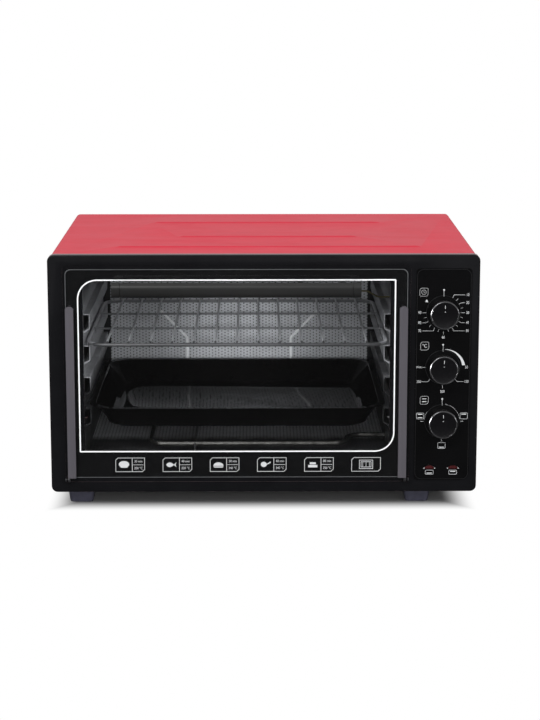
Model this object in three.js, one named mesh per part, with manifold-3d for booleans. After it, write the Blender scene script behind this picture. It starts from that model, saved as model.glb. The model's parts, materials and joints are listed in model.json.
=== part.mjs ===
// A countertop mini oven: a red sheet-steel housing, a black front frame with a drop-down glass door,
// three control knobs, and an embossed steel cavity that holds two tubular heaters, a rack and a tray.
// Millimetres, +Z up, and the front faces -Y. While it is built, x = 0 is the middle of the front frame,
// y = 0 is the front frame's face and z = 0 is the table that the feet stand on.
import * as THREE from "three";
import { mergeVertices } from "three/addons/utils/BufferGeometryUtils.js";
import Module from "manifold-3d";

const wasm = await Module();
wasm.setup();

// The door glass, seen from the front, sets the width and height of the oven
const doorWidth = 443.4;
const doorHeight = 278;
const doorAirGap = 2.4;
const glassThickness = 4;

// The front frame round the door: a margin at the left, the control column at the right
const doorMargin = 23;
const controlWidth = 93.6;
const doorRise = 21.5;
const doorHeadroom = 17;
const footHeight = 20;

// Cavity, inside, and the room behind it. The door overlaps the cavity on all sides.
const doorSideOverlap = 20.2;
const doorTopOverlap = 7.5;
const doorBottomOverlap = 16.5;
const cavityDepth = 344;
const rearSpace = 41.5;

// Sheet metal and clearances
const steelSheet = 1.2;
const linerSheet = 1;
const seatGap = 0.3;
const turnGap = 0.4;
const cutOverrun = 5;
const mergeTolerance = 1e-4;

// Knobs, spread between the door's bottom and top edges
const knobRise = 74.3;
const knobHeadroom = 58.7;
const knobCount = 3;
const knobPitch = (doorHeight - knobRise - knobHeadroom) / (knobCount - 1);
const knobRadius = 18.75;
const knobLength = 19.2;

// Round features: sides of a small hole, a shaft and a knob
const holeSides = 16;
const shaftSides = 16;
const knobSides = 24;
const cornerSteps = 3;

// Heights and planes worked out from the sizes above
const frameWidth = doorMargin + doorWidth + controlWidth;
const frameHeight = doorRise + doorHeight + doorHeadroom;
const frameBottom = footHeight;
const frameTop = frameBottom + frameHeight;
const frameLeft = -frameWidth / 2;
const frameRight = frameWidth / 2;
const doorLeft = frameLeft + doorMargin;
const doorRight = doorLeft + doorWidth;
const doorCentre = (doorLeft + doorRight) / 2;
const doorBottom = frameBottom + doorRise;
const doorTop = doorBottom + doorHeight;
const glassBack = -doorAirGap;
const glassFront = glassBack - glassThickness;
const knobCentre = (doorRight + frameRight) / 2;

const colours = {
  red: { color: 0xc8303f, roughness: 0.3, metalness: 0.1 },
  black: { color: 0x141416, roughness: 0.22, metalness: 0 },
  satinBlack: { color: 0x1b1b1d, roughness: 0.45, metalness: 0 },
  enamel: { color: 0x0c0c0d, roughness: 0.12, metalness: 0 },
  liner: { color: 0x77777b, roughness: 0.38, metalness: 0.75 },
  zinc: { color: 0x9a9c9e, roughness: 0.42, metalness: 0.85 },
  chrome: { color: 0xc9cacc, roughness: 0.16, metalness: 1 },
  heater: { color: 0x5a5850, roughness: 0.5, metalness: 0.6 },
  trim: { color: 0x67646b, roughness: 0.4, metalness: 0.35 },
  handle: { color: 0x3a3a3c, roughness: 0.38, metalness: 0.2 },
  foot: { color: 0x3b3b4a, roughness: 0.6, metalness: 0 },
  ceramic: { color: 0xe6e1d6, roughness: 0.6, metalness: 0 },
  brass: { color: 0x8d8452, roughness: 0.4, metalness: 0.8 },
  lens: { color: 0xa02420, roughness: 0.2, metalness: 0 },
  wire: { color: 0xb9b4a8, roughness: 0.7, metalness: 0 },
};

// The glass is the only see-through finish.
const glassMaterial = new THREE.MeshStandardMaterial({
  color: 0x20242a,
  roughness: 0.05,
  metalness: 0,
  transparent: true,
  opacity: 0.35,
});

// Helpers: solids, cuts and the usual sheet-metal shapes

// A closed geometry as a solid that can be cut and joined.
function solidOf(geometry) {
  const bare = geometry.index ? geometry.toNonIndexed() : geometry.clone();
  const placed = new THREE.BufferGeometry();
  placed.setAttribute("position", bare.getAttribute("position"));
  const merged = mergeVertices(placed, mergeTolerance);
  const triVerts = new Uint32Array(merged.index.array);
  const vertProperties = merged.attributes.position.array;
  const made = new wasm.Manifold(new wasm.Mesh({ numProp: 3, vertProperties, triVerts }));
  if (made.volume() > 0) return made;
  for (let i = 0; i < triVerts.length; i += 3) {
    [triVerts[i + 1], triVerts[i + 2]] = [triVerts[i + 2], triVerts[i + 1]];
  }
  return new wasm.Manifold(new wasm.Mesh({ numProp: 3, vertProperties, triVerts }));
}

function geometryOf(solid) {
  const mesh = solid.getMesh();
  const geometry = new THREE.BufferGeometry();
  geometry.setAttribute("position", new THREE.BufferAttribute(mesh.vertProperties, 3));
  geometry.setIndex(new THREE.BufferAttribute(mesh.triVerts, 1));
  geometry.computeVertexNormals();
  return geometry;
}

const joined = (...shapes) => shapes.map(solidOf).reduce((all, one) => all.add(one));
const carved = (solid, ...cuts) => cuts.map(solidOf).reduce((left, cut) => left.subtract(cut), solid);

function boxBetween(low, high) {
  const size = high.map((value, i) => value - low[i]);
  const middle = high.map((value, i) => (value + low[i]) / 2);
  return new THREE.BoxGeometry(...size).translate(...middle);
}

// A rectangle with its own radius at each corner, from bottom left anticlockwise.
function roundedRect(left, right, bottom, top, radii) {
  const [bl, br, tr, tl] = Array.isArray(radii) ? radii : [radii, radii, radii, radii];
  const shape = new THREE.Shape();
  shape.moveTo(left + bl, bottom);
  shape.lineTo(right - br, bottom);
  if (br) shape.absarc(right - br, bottom + br, br, -Math.PI / 2, 0, false);
  shape.lineTo(right, top - tr);
  if (tr) shape.absarc(right - tr, top - tr, tr, 0, Math.PI / 2, false);
  shape.lineTo(left + tl, top);
  if (tl) shape.absarc(left + tl, top - tl, tl, Math.PI / 2, Math.PI, false);
  shape.lineTo(left, bottom + bl);
  if (bl) shape.absarc(left + bl, bottom + bl, bl, Math.PI, Math.PI * 1.5, false);
  return shape;
}

function outlineOf(points) {
  return new THREE.Shape(points.map(([a, b]) => new THREE.Vector2(a, b)));
}

// A cooling slot with blunt, three-sided ends. It is kept plain because there are many of them.
function slotOutline(left, right, low, high) {
  const middle = (low + high) / 2;
  const end = (high - low) / 3;
  return outlineOf([
    [left + end, low],
    [right - end, low],
    [right, middle],
    [right - end, high],
    [left + end, high],
    [left, middle],
  ]);
}

// A shape drawn in x and z, running from y = near to y = far.
function alongY(shape, near, far, options = {}) {
  const made = new THREE.ExtrudeGeometry(shape, {
    depth: far - near,
    bevelEnabled: false,
    curveSegments: cornerSteps,
    ...options,
  });
  return made.rotateX(Math.PI / 2).translate(0, far, 0);
}

// A shape drawn in x and y, running from z = low to z = high.
function alongZ(shape, low, high) {
  const made = new THREE.ExtrudeGeometry(shape, {
    depth: high - low,
    bevelEnabled: false,
    curveSegments: cornerSteps,
  });
  return made.translate(0, 0, low);
}

// A shape drawn in y and z, running from x = low to x = high.
const yzTurn = new THREE.Matrix4().makeBasis(
  new THREE.Vector3(0, 1, 0),
  new THREE.Vector3(0, 0, 1),
  new THREE.Vector3(1, 0, 0),
);
function alongX(shape, low, high, steps = cornerSteps) {
  const made = new THREE.ExtrudeGeometry(shape, {
    depth: high - low,
    bevelEnabled: false,
    curveSegments: steps,
  });
  return made.applyMatrix4(yzTurn).translate(low, 0, 0);
}

function rodY(radius, near, far, x, z, sides = holeSides) {
  const made = new THREE.CylinderGeometry(radius, radius, far - near, sides);
  return made.translate(x, (near + far) / 2, z);
}

function rodX(radius, low, high, y, z, sides = holeSides) {
  const made = new THREE.CylinderGeometry(radius, radius, high - low, sides);
  return made.rotateZ(Math.PI / 2).translate((low + high) / 2, y, z);
}

// A solid of revolution about an axis along Y. The profile is a list of [radius, y].
function turnedY(profile, x, z, sides) {
  const points = profile.map(([r, y]) => new THREE.Vector2(r, y));
  return new THREE.LatheGeometry(points, sides).translate(x, 0, z);
}

// A tube along a list of points. Its rings are carried along without twist; a closed tube has no ends.
function tubeAlong(points, radius, sides, closed = false) {
  const count = points.length;
  const directions = points.map((p, i) => {
    const before = closed ? points[(i + count - 1) % count] : points[Math.max(i - 1, 0)];
    const after = closed ? points[(i + 1) % count] : points[Math.min(i + 1, count - 1)];
    return after.clone().sub(before).normalize();
  });
  const least = ["x", "y", "z"].reduce((a, b) =>
    (Math.abs(directions[0][a]) <= Math.abs(directions[0][b]) ? a : b),
  );
  let side = new THREE.Vector3();
  side[least] = 1;
  const positions = [];
  points.forEach((p, i) => {
    side = side.clone().addScaledVector(directions[i], -side.dot(directions[i])).normalize();
    const other = directions[i].clone().cross(side);
    for (let k = 0; k < sides; k++) {
      const turn = (k / sides) * Math.PI * 2;
      const spoke = side.clone().multiplyScalar(Math.cos(turn)).addScaledVector(other, Math.sin(turn));
      positions.push(...p.clone().addScaledVector(spoke, radius).toArray());
    }
  });
  const index = [];
  const rings = closed ? count : count - 1;
  for (let i = 0; i < rings; i++) {
    const next = (i + 1) % count;
    for (let k = 0; k < sides; k++) {
      const a = i * sides + k;
      const b = i * sides + ((k + 1) % sides);
      const c = next * sides + k;
      const d = next * sides + ((k + 1) % sides);
      index.push(a, b, d, a, d, c);
    }
  }
  if (!closed) {
    for (let k = 1; k < sides - 1; k++) {
      const last = (count - 1) * sides;
      index.push(0, k + 1, k, last, last + k, last + k + 1);
    }
  }
  const geometry = new THREE.BufferGeometry();
  geometry.setAttribute("position", new THREE.Float32BufferAttribute(positions, 3));
  geometry.setIndex(index);
  return geometry;
}

// The corners of a bent rod, each rounded to the bend radius. A closed rod rounds every corner.
function bentPath(corners, bend, steps, closed = false) {
  const points = [];
  const count = corners.length;
  corners.forEach((corner, i) => {
    if (!closed && (i === 0 || i === count - 1)) {
      points.push(corner.clone());
      return;
    }
    const back = corners[(i + count - 1) % count].clone().sub(corner).normalize();
    const on = corners[(i + 1) % count].clone().sub(corner).normalize();
    const half = Math.acos(THREE.MathUtils.clamp(back.dot(on), -1, 1)) / 2;
    const inset = bend / Math.tan(half);
    const centre = corner.clone().addScaledVector(
      back.clone().add(on).normalize(),
      bend / Math.sin(half),
    );
    const from = corner.clone().addScaledVector(back, inset).sub(centre);
    const to = corner.clone().addScaledVector(on, inset).sub(centre);
    const sweep = from.angleTo(to);
    for (let s = 0; s <= steps; s++) {
      const t = s / steps;
      const a = Math.sin((1 - t) * sweep) / Math.sin(sweep);
      const b = Math.sin(t * sweep) / Math.sin(sweep);
      points.push(centre.clone().addScaledVector(from, a).addScaledVector(to, b));
    }
  });
  return points;
}

// A closed skin through a stack of outlines with the same number of points, flat at both ends.
function lofted(rings) {
  const sides = rings[0].length;
  const positions = rings.flat().flatMap((p) => p.toArray());
  const index = [];
  for (let i = 0; i < rings.length - 1; i++) {
    for (let k = 0; k < sides; k++) {
      const a = i * sides + k;
      const b = i * sides + ((k + 1) % sides);
      index.push(a, b, b + sides, a, b + sides, a + sides);
    }
  }
  const last = (rings.length - 1) * sides;
  for (let k = 1; k < sides - 1; k++) {
    index.push(0, k + 1, k, last, last + k, last + k + 1);
  }
  const geometry = new THREE.BufferGeometry();
  geometry.setAttribute("position", new THREE.Float32BufferAttribute(positions, 3));
  geometry.setIndex(index);
  return geometry;
}

// One level outline for a loft: a rounded rectangle about a centre, at height z.
function ringAt(centreX, centreY, width, depth, radius, z) {
  const outline = roundedRect(
    centreX - width / 2,
    centreX + width / 2,
    centreY - depth / 2,
    centreY + depth / 2,
    radius,
  );
  const points = outline.getPoints(cornerSteps);
  const distinct = points.filter((p, i) => p.distanceTo(points[(i + 1) % points.length]) > mergeTolerance);
  return distinct.map((p) => new THREE.Vector3(p.x, p.y, z));
}

const oven = new THREE.Group();
oven.name = "mini_oven";

function addPart(name, shape, finish) {
  const geometry = shape.isBufferGeometry ? geometryOf(solidOf(shape)) : geometryOf(shape);
  const material = finish === "glass" ? glassMaterial : new THREE.MeshStandardMaterial(colours[finish]);
  const mesh = new THREE.Mesh(geometry, material);
  mesh.name = name;
  oven.add(mesh);
  return mesh;
}

// Front frame: one black steel pressing with a return flange, a shallow door recess and the cavity mouth
const frameFlange = 14;
const frameCorner = 8;
const frameEdgeRound = 1.2;
const frameEdgeSteps = 2;
const recessMargin = 4;
const recessBelow = 7.5;
const recessDepth = 1;
const recessCorner = 6;
const mouthCorner = 12;
const mouthInset = 2;
const mouthSill = 8;
const frameBack = steelSheet + recessDepth;
const recess = {
  left: doorLeft - recessMargin,
  right: doorRight + recessMargin,
  bottom: doorBottom - recessBelow,
  top: doorTop + recessMargin,
};

// Cavity planes
const cavityLeft = doorLeft + doorSideOverlap;
const cavityRight = doorRight - doorSideOverlap;
const cavityWidth = cavityRight - cavityLeft;
const cavityFloor = doorBottom + doorBottomOverlap;
const cavityTop = doorTop - doorTopOverlap;
const cavityFront = frameBack + seatGap;
const cavityBack = cavityFront + cavityDepth;
const bodyDepth = cavityBack + rearSpace;

// Door hinge: pivots below the glass, and a curved arm on each side that runs through a slot in the frame
const pivotDrop = 3.6;
const pivotY = (glassFront + glassBack) / 2;
const pivotZ = doorBottom - pivotDrop;
const pivotPinRadius = 1.5;
const pinHeadRadius = 2.4;
const pinHeadThickness = 0.8;
const pivotEarRadius = 3.2;
const pivotEarThickness = 2.4;
const stripWidth = 10.7;
const stripTopGap = 48.5;
const stripHeight = doorHeight - stripTopGap;
const stripThickness = 3.8;
const bracketSheet = 1.3;
const armRadius = 34;
const armWidth = 7;
const armSteps = 12;
const slotGap = 1.5;

// The four x planes that each side of the door hardware uses, outermost first. side is -1 or 1.
function hingeSide(side) {
  const edge = side < 0 ? doorLeft : doorRight;
  const inward = -side;
  return {
    edge,
    inward,
    lug: [edge + side * (seatGap + pivotEarThickness), edge + side * seatGap],
    ear: [edge, edge + inward * pivotEarThickness],
    arm: [edge + inward * (stripWidth - bracketSheet), edge + inward * stripWidth],
    strip: [edge, edge + inward * stripWidth],
  };
}
const sorted = ([a, b]) => (a < b ? [a, b] : [b, a]);

// Knobs, lamps and the holes behind them
const shaftRadius = 3;
const bushRadius = 5;
const bushHole = bushRadius + turnGap;
const knobHeights = Array.from({ length: knobCount }, (_, i) => doorBottom + knobRise + i * knobPitch);
const lampSpread = 15.5;
const lampCentres = [-1, 1].map((side) => knobCentre + side * lampSpread);
const lampRise = 34;
const lampWidth = 12;
const lampHeight = 4.2;
const lampArch = 2.4;

// The lamp's outline: flat below and arched above.
function lampOutline(centre, grow) {
  const half = lampWidth / 2 + grow;
  const low = frameBottom + lampRise - lampHeight / 2 - grow;
  const high = low + lampHeight + 2 * grow;
  const shape = new THREE.Shape();
  shape.moveTo(centre - half, low);
  shape.lineTo(centre + half, low);
  shape.lineTo(centre + half, high - lampArch);
  shape.quadraticCurveTo(centre, high + lampArch, centre - half, high - lampArch);
  return shape;
}

function frontFrame() {
  const r = frameEdgeRound;
  const outer = alongY(
    roundedRect(frameLeft + r, frameRight - r, frameBottom + r, frameTop - r, frameCorner - r),
    r,
    frameFlange + r,
    { bevelEnabled: true, bevelThickness: r, bevelSize: r, bevelSegments: frameEdgeSteps },
  );
  const pocket = alongY(
    roundedRect(
      frameLeft + steelSheet,
      frameRight - steelSheet,
      frameBottom + steelSheet,
      frameTop - steelSheet,
      frameCorner - steelSheet,
    ),
    steelSheet,
    frameFlange + 2 * cutOverrun,
  );
  const tail = boxBetween(
    [frameLeft - cutOverrun, frameFlange, frameBottom - cutOverrun],
    [frameRight + cutOverrun, frameFlange + 2 * cutOverrun, frameTop + cutOverrun],
  );
  const backing = alongY(
    roundedRect(
      recess.left - steelSheet,
      recess.right + steelSheet,
      recess.bottom - steelSheet,
      recess.top + steelSheet,
      recessCorner,
    ),
    steelSheet / 2,
    frameBack,
  );
  const step = alongY(
    roundedRect(recess.left, recess.right, recess.bottom, recess.top, recessCorner),
    -cutOverrun,
    recessDepth,
  );
  const mouth = alongY(
    roundedRect(
      cavityLeft + mouthInset,
      cavityRight - mouthInset,
      cavityFloor + mouthSill,
      cavityTop - mouthInset,
      mouthCorner,
    ),
    -cutOverrun,
    frameBack + cutOverrun,
  );
  const slots = [-1, 1].map((side) => {
    const [x0, x1] = sorted(hingeSide(side).arm);
    const rise = Math.sqrt((armRadius - armWidth / 2) ** 2 - (frameBack - pivotY) ** 2);
    return boxBetween(
      [x0 - slotGap, -cutOverrun, pivotZ + rise - slotGap],
      [x1 + slotGap, frameBack + cutOverrun, pivotZ + armRadius + armWidth / 2 + slotGap],
    );
  });
  const knobHoles = knobHeights.map((z) =>
    rodY(bushHole, -cutOverrun, frameBack + cutOverrun, knobCentre, z),
  );
  const lampHoles = lampCentres.map((x) =>
    alongY(lampOutline(x, turnGap), -cutOverrun, frameBack + cutOverrun),
  );
  const lugs = [-1, 1].map((side) => {
    const [x0, x1] = sorted(hingeSide(side).lug);
    const lug = new THREE.Shape();
    lug.moveTo(recessDepth + steelSheet / 2, pivotZ + pivotEarRadius);
    lug.lineTo(pivotY, pivotZ + pivotEarRadius);
    lug.absarc(pivotY, pivotZ, pivotEarRadius, Math.PI / 2, Math.PI * 1.5, false);
    lug.lineTo(recessDepth + steelSheet / 2, pivotZ - pivotEarRadius);
    return alongX(lug, x0, x1);
  });
  const pinHoles = [-1, 1].map((side) => {
    const [x0, x1] = sorted(hingeSide(side).lug);
    return rodX(pivotPinRadius + seatGap, x0 - seatGap / 2, x1 + seatGap / 2, pivotY, pivotZ);
  });
  const shell = carved(solidOf(outer), pocket, tail).add(solidOf(backing));
  const pressed = carved(shell, step, mouth, ...slots, ...knobHoles, ...lampHoles);
  return carved(pressed.add(joined(...lugs)), ...pinHoles);
}
addPart("front_frame", frontFrame(), "black");

// Control panel: a gloss plate laid on the frame, right of the door
const panelLeftGap = 11.1;
const panelRightGap = 10.5;
const panelLeft = doorRight + panelLeftGap;
const panelRight = frameRight - panelRightGap;
const panelBottomInset = 16.5;
const panelTopInset = 17.5;
const panelThickness = 1.5;
const panelCorner = 4;
const panelSweep = 12;
const panelBack = -seatGap;
const panelFront = panelBack - panelThickness;
{
  const plate = alongY(
    roundedRect(panelLeft, panelRight, frameBottom + panelBottomInset, frameTop - panelTopInset, [
      panelCorner,
      panelSweep,
      panelCorner,
      panelCorner,
    ]),
    panelFront,
    panelBack,
  );
  const knobHoles = knobHeights.map((z) => rodY(bushHole, -cutOverrun, cutOverrun, knobCentre, z));
  const lampHoles = lampCentres.map((x) => alongY(lampOutline(x, turnGap), -cutOverrun, cutOverrun));
  addPart("control_panel", carved(solidOf(plate), ...knobHoles, ...lampHoles), "black");
}

// Outer cover: one sheet over the top and both sides, folded under at the bottom
const coverFront = 4;
const coverHem = 14;
const beadWidth = 12;
const beadCrest = 4;
const beadRise = 1;
const beadTaper = 12;
const beadCentre = 5.5;
const beadShares = [
  { depth: 0.206, width: 0.75 },
  { depth: 0.433, width: 0.46 },
  { depth: 0.776, width: 0.607 },
];
const coverInset = steelSheet + seatGap;
const coverFold = frameCorner - coverInset;
const coverTop = frameTop - coverInset;
const coverLeft = frameLeft + coverInset;
const coverRight = frameRight - coverInset;
const coverBottom = frameBottom + coverInset;
const beads = beadShares.map((share) => ({
  y: share.depth * bodyDepth,
  length: share.width * (coverRight - coverLeft),
}));
const ventLength = 60;
const ventHeight = 4;
const ventPitch = 12;
const ventCount = 9;
const ventFromBack = 70;
const ventFromTop = 66;

// A pressed bead: long, low and tapered, standing on the sheet's face.
function beadAt(y, length, grow, low, high) {
  const half = length / 2 + grow;
  const side = beadWidth / 2 + grow;
  const crest = beadCrest / 2 + grow;
  const ring = (reach, across, z) => [
    new THREE.Vector3(beadCentre - reach, y - across, z),
    new THREE.Vector3(beadCentre + reach, y - across, z),
    new THREE.Vector3(beadCentre + reach, y + across, z),
    new THREE.Vector3(beadCentre - reach, y + across, z),
  ];
  return lofted([ring(half, side, low), ring(half - beadTaper, crest, high)]);
}
{
  const sheetProfile = (inset) =>
    roundedRect(
      coverLeft + inset,
      coverRight - inset,
      coverBottom + inset,
      coverTop - inset,
      coverFold - inset,
    );
  const outer = alongY(sheetProfile(0), coverFront, bodyDepth);
  const inner = alongY(sheetProfile(steelSheet), coverFront - cutOverrun, bodyDepth + cutOverrun);
  const belly = boxBetween(
    [coverLeft + coverHem, coverFront - cutOverrun, coverBottom - cutOverrun],
    [coverRight - coverHem, bodyDepth + cutOverrun, coverBottom + coverFold],
  );
  const raised = beads.map(({ y, length }) =>
    beadAt(y, length, 0, coverTop - steelSheet / 2, coverTop + beadRise),
  );
  const hollows = beads.map(({ y, length }) =>
    beadAt(y, length, -steelSheet, coverTop - 2 * steelSheet, coverTop + beadRise - steelSheet),
  );
  const vents = Array.from({ length: ventCount }, (_, i) => {
    const low = coverTop - ventFromTop - i * ventPitch;
    return boxBetween(
      [coverRight - steelSheet - cutOverrun, bodyDepth - ventFromBack - ventLength, low],
      [coverRight + cutOverrun, bodyDepth - ventFromBack, low + ventHeight],
    );
  });
  const body = carved(solidOf(outer), inner, belly).add(joined(...raised));
  addPart("outer_cover", carved(body, ...hollows, ...vents), "red");
}

// Base panel: the tray-like floor of the housing, with cooling slots and two tabs that hold the door
// springs
const baseLeft = coverLeft + coverFold + seatGap;
const baseRight = coverRight - coverFold - seatGap;
const baseFront = frameFlange + seatGap;
const baseLow = coverBottom + steelSheet + seatGap;
const baseHigh = baseLow + steelSheet;
const rearInset = 6;
const rearBack = bodyDepth - rearInset;
const rearFront = rearBack - steelSheet;
const baseBack = rearFront - seatGap;
const baseSlotLengthShare = 0.32;
const baseSlotLength = baseSlotLengthShare * frameWidth;
const baseSlotWidth = 5;
const baseSlotPitch = 15;
const baseSlotCount = 6;
const baseSlotStartShares = [0.206, 0.58];
const springSpan = 120;
const anchorY = pivotY + armRadius + springSpan;
const anchorLength = 9;
const anchorRise = 20;
const anchorHoleRadius = 2.2;
const springWire = 0.6;
const springRadius = 3.2;
const springClearance = 1;
const springZ = baseHigh + springClearance + springWire + springRadius;
const armTailAngle = Math.asin((pivotZ - springZ) / (armRadius - armWidth / 4));

const armPlaneX = (side) => {
  const [x0, x1] = hingeSide(side).arm;
  return (x0 + x1) / 2;
};
{
  const plate = boxBetween([baseLeft, baseFront, baseLow], [baseRight, baseBack, baseHigh]);
  const slots = baseSlotStartShares.flatMap((share) =>
    Array.from({ length: baseSlotCount }, (_, i) => {
      const low = share * bodyDepth + i * baseSlotPitch;
      return alongZ(
        slotOutline(
          doorCentre - baseSlotLength / 2,
          doorCentre + baseSlotLength / 2,
          low,
          low + baseSlotWidth,
        ),
        baseLow - cutOverrun,
        baseHigh + cutOverrun,
      );
    }),
  );
  const tabs = [-1, 1].map((side) => {
    const x = armPlaneX(side);
    return boxBetween(
      [x - steelSheet / 2, anchorY, baseLow],
      [x + steelSheet / 2, anchorY + anchorLength, springZ + anchorRise / 2],
    );
  });
  const holes = [-1, 1].map((side) => {
    const x = armPlaneX(side);
    return rodX(anchorHoleRadius, x - cutOverrun, x + cutOverrun, anchorY + anchorLength / 2, springZ);
  });
  addPart("base_panel", carved(joined(plate, ...tabs), ...slots, ...holes), "zinc");
}

// Rear panel: slotted over the cavity and the controls, with a hole for the cord gland
const rearSlotLengthShare = 0.129;
const rearSlotLength = rearSlotLengthShare * (cavityRight - cavityLeft);
const rearSlotHeight = 4.5;
const rearSlotPitch = 13;
const rearSlotRows = 5;
const rearSlotColumns = 4;
const rearSlotSpreadShare = 0.189;
const rearSlotSpread = rearSlotSpreadShare * (cavityRight - cavityLeft);
const rearControlSlotRows = 4;
const rearSlotRiseShare = 0.474;
const rearSlotRise = rearSlotRiseShare * frameHeight;
const rearScrewInset = 9;
const screwRadius = 1.7;
const glandInset = 58;
const glandX = frameRight - glandInset;
const glandRise = 44;
const glandRadius = 8;
const glandFlangeRadius = 12;
const glandBoreRadius = 4.2;
const glandFlange = 3;
const glandLength = 14;
const rearLow = baseHigh + seatGap;
const rearHigh = coverTop - coverInset;
const rearHalfWidth = coverRight - coverInset;
const rearScrews = [-1, 0, 1].flatMap((across) =>
  [rearLow + rearScrewInset, rearHigh - rearScrewInset].map((z) =>
    [across * (rearHalfWidth - rearScrewInset), z],
  ),
);
{
  const plate = alongY(
    roundedRect(-rearHalfWidth, rearHalfWidth, rearLow, rearHigh, coverFold),
    rearFront,
    rearBack,
  );
  const slotAt = (x, row) => {
    const low = frameBottom + rearSlotRise + row * rearSlotPitch;
    return alongY(
      slotOutline(x - rearSlotLength / 2, x + rearSlotLength / 2, low, low + rearSlotHeight),
      rearFront - cutOverrun,
      rearBack + cutOverrun,
    );
  };
  const slots = Array.from({ length: rearSlotColumns }, (_, column) => {
    const x = doorCentre + (column - (rearSlotColumns - 1) / 2) * rearSlotSpread;
    return Array.from({ length: rearSlotRows }, (_, row) => slotAt(x, row));
  }).flat();
  const controlSlots = Array.from({ length: rearControlSlotRows }, (_, row) => slotAt(knobCentre, row));
  const glandHole = rodY(
    glandRadius + seatGap,
    rearFront - cutOverrun,
    rearBack + cutOverrun,
    glandX,
    frameBottom + glandRise,
  );
  const screwHoles = rearScrews.map(([x, z]) =>
    rodY(screwRadius + seatGap, rearFront - cutOverrun, rearBack + cutOverrun, x, z),
  );
  addPart(
    "rear_panel",
    carved(solidOf(plate), ...slots, ...controlSlots, glandHole, ...screwHoles),
    "zinc",
  );

  const gland = turnedY(
    [
      [glandBoreRadius, rearBack + seatGap + glandFlange],
      [glandFlangeRadius - glandFlange / 2, rearBack + seatGap + glandFlange],
      [glandFlangeRadius, rearBack + seatGap + glandFlange / 2],
      [glandFlangeRadius, rearBack + seatGap],
      [glandRadius, rearBack + seatGap],
      [glandRadius, rearBack + seatGap + glandFlange - glandLength],
      [glandBoreRadius, rearBack + seatGap + glandFlange - glandLength],
      [glandBoreRadius, rearBack + seatGap + glandFlange],
    ],
    glandX,
    frameBottom + glandRise,
    shaftSides,
  );
  addPart("cord_gland", gland, "satinBlack");
}

// Feet: tapered plastic blocks under the base, the right pair set in below the cavity's edge
const footTop = 35;
const footBase = 31;
const footCorner = 5;
const footInset = 20;
const footLip = 4;
const footInDoor = 14;
const footPastDoor = 17.1;
const footCentres = { left: doorLeft + footInDoor, right: doorRight + footPastDoor };
const footRows = { front: footInset + footTop / 2, rear: bodyDepth - footInset - footTop / 2 };
for (const [row, y] of Object.entries(footRows)) {
  for (const [side, x] of Object.entries(footCentres)) {
    const top = baseLow - seatGap;
    addPart(
      `foot_${row}_${side}`,
      lofted([
        ringAt(x, y, footBase - footLip / 2, footBase - footLip / 2, footCorner, 0),
        ringAt(x, y, footBase, footBase, footCorner, footLip / 2),
        ringAt(x, y, footTop, footTop, footCorner, top - footLip),
        ringAt(x, y, footTop, footTop, footCorner, top),
      ]),
      "foot",
    );
  }
}

// Cavity: five liner sheets. The side sheets carry bridges, pressed inwards and open at both ends, as
// shelf guides
const guideReach = 8;
const guideHeight = 26;
const guideFace = 20;
const guideFront = 27;
const guideEnd = 21;
const guideLength = cavityDepth - guideFront - guideEnd;
const guideRelief = 1;
const guideLevels = 4;
const guideLowest = 68.4;
const guideHeadroom = 58.4;
const guidePitch = (cavityTop - cavityFloor - guideLowest - guideHeadroom) / (guideLevels - 1);
const flangeReach = 6;
const guideTop = (level) => cavityFloor + guideLowest + level * guidePitch;

const heaterRadius = 3.25;
const heaterHoleGap = 0.6;
const upperHeaterDrop = 18;
const lowerHeaterRise = 11;
const upperHeaterZ = cavityTop - upperHeaterDrop;
const lowerHeaterZ = cavityFloor + lowerHeaterRise;
const heaterFromMouth = 62;
const heaterFromBack = 60;
const heaterDepth = cavityDepth - heaterFromMouth - heaterFromBack;
const heaterReturn = 44;
const heaterFront = cavityFront + heaterFromMouth;
const heaterBack = heaterFront + heaterDepth;
const heaterEndRows = { front: heaterFront + heaterReturn, rear: heaterBack };
const heaterTail = 14;
const capillaryRadius = 1.1;
const capillaryFromMouth = 46;
const capillaryDrop = 39.3;
const capillaryY = cavityFront + capillaryFromMouth;
const capillaryZ = cavityTop - capillaryDrop;

function cavitySide(side) {
  const inner = side < 0 ? cavityLeft : cavityRight;
  const outer = inner + side * linerSheet;
  const [x0, x1] = sorted([inner, outer]);
  const z0 = cavityFloor + seatGap;
  const z1 = cavityTop - seatGap;
  const wall = boxBetween([x0, cavityFront, z0], [x1, cavityBack - seatGap, z1]);
  const [f0, f1] = sorted([outer - side * linerSheet * 0.5, outer + side * flangeReach]);
  const flange = boxBetween(
    [f0, cavityFront, z0 + mouthSill],
    [f1, cavityFront + linerSheet, z1 - mouthSill],
  );
  const trapezoid = (top, skin, root) => {
    const reach = inner - side * (guideReach - skin);
    return outlineOf([
      [root, top - skin],
      [reach, top - skin],
      [reach, top - guideFace + skin],
      [root, top - guideHeight + skin],
    ]);
  };
  const middle = (inner + outer) / 2;
  const levels = Array.from({ length: guideLevels }, (_, level) => guideTop(level));
  const bridges = levels.map((top) =>
    alongY(trapezoid(top, 0, middle), cavityFront + guideFront, cavityFront + guideFront + guideLength),
  );
  const hollows = levels.map((top) =>
    alongY(
      trapezoid(top, linerSheet, outer + side * cutOverrun),
      cavityFront + guideFront - guideRelief,
      cavityFront + guideFront + guideLength + guideRelief,
    ),
  );
  const holes = [];
  if (side > 0) {
    for (const z of [upperHeaterZ, lowerHeaterZ]) {
      for (const y of Object.values(heaterEndRows)) {
        holes.push(rodX(heaterRadius + heaterHoleGap, x0 - cutOverrun, x1 + cutOverrun, y, z));
      }
    }
    holes.push(rodX(capillaryRadius + seatGap, x0 - cutOverrun, x1 + cutOverrun, capillaryY, capillaryZ));
  }
  return carved(joined(wall, flange, ...bridges), ...hollows, ...holes);
}
addPart("cavity_side_left", cavitySide(-1), "liner");
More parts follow.
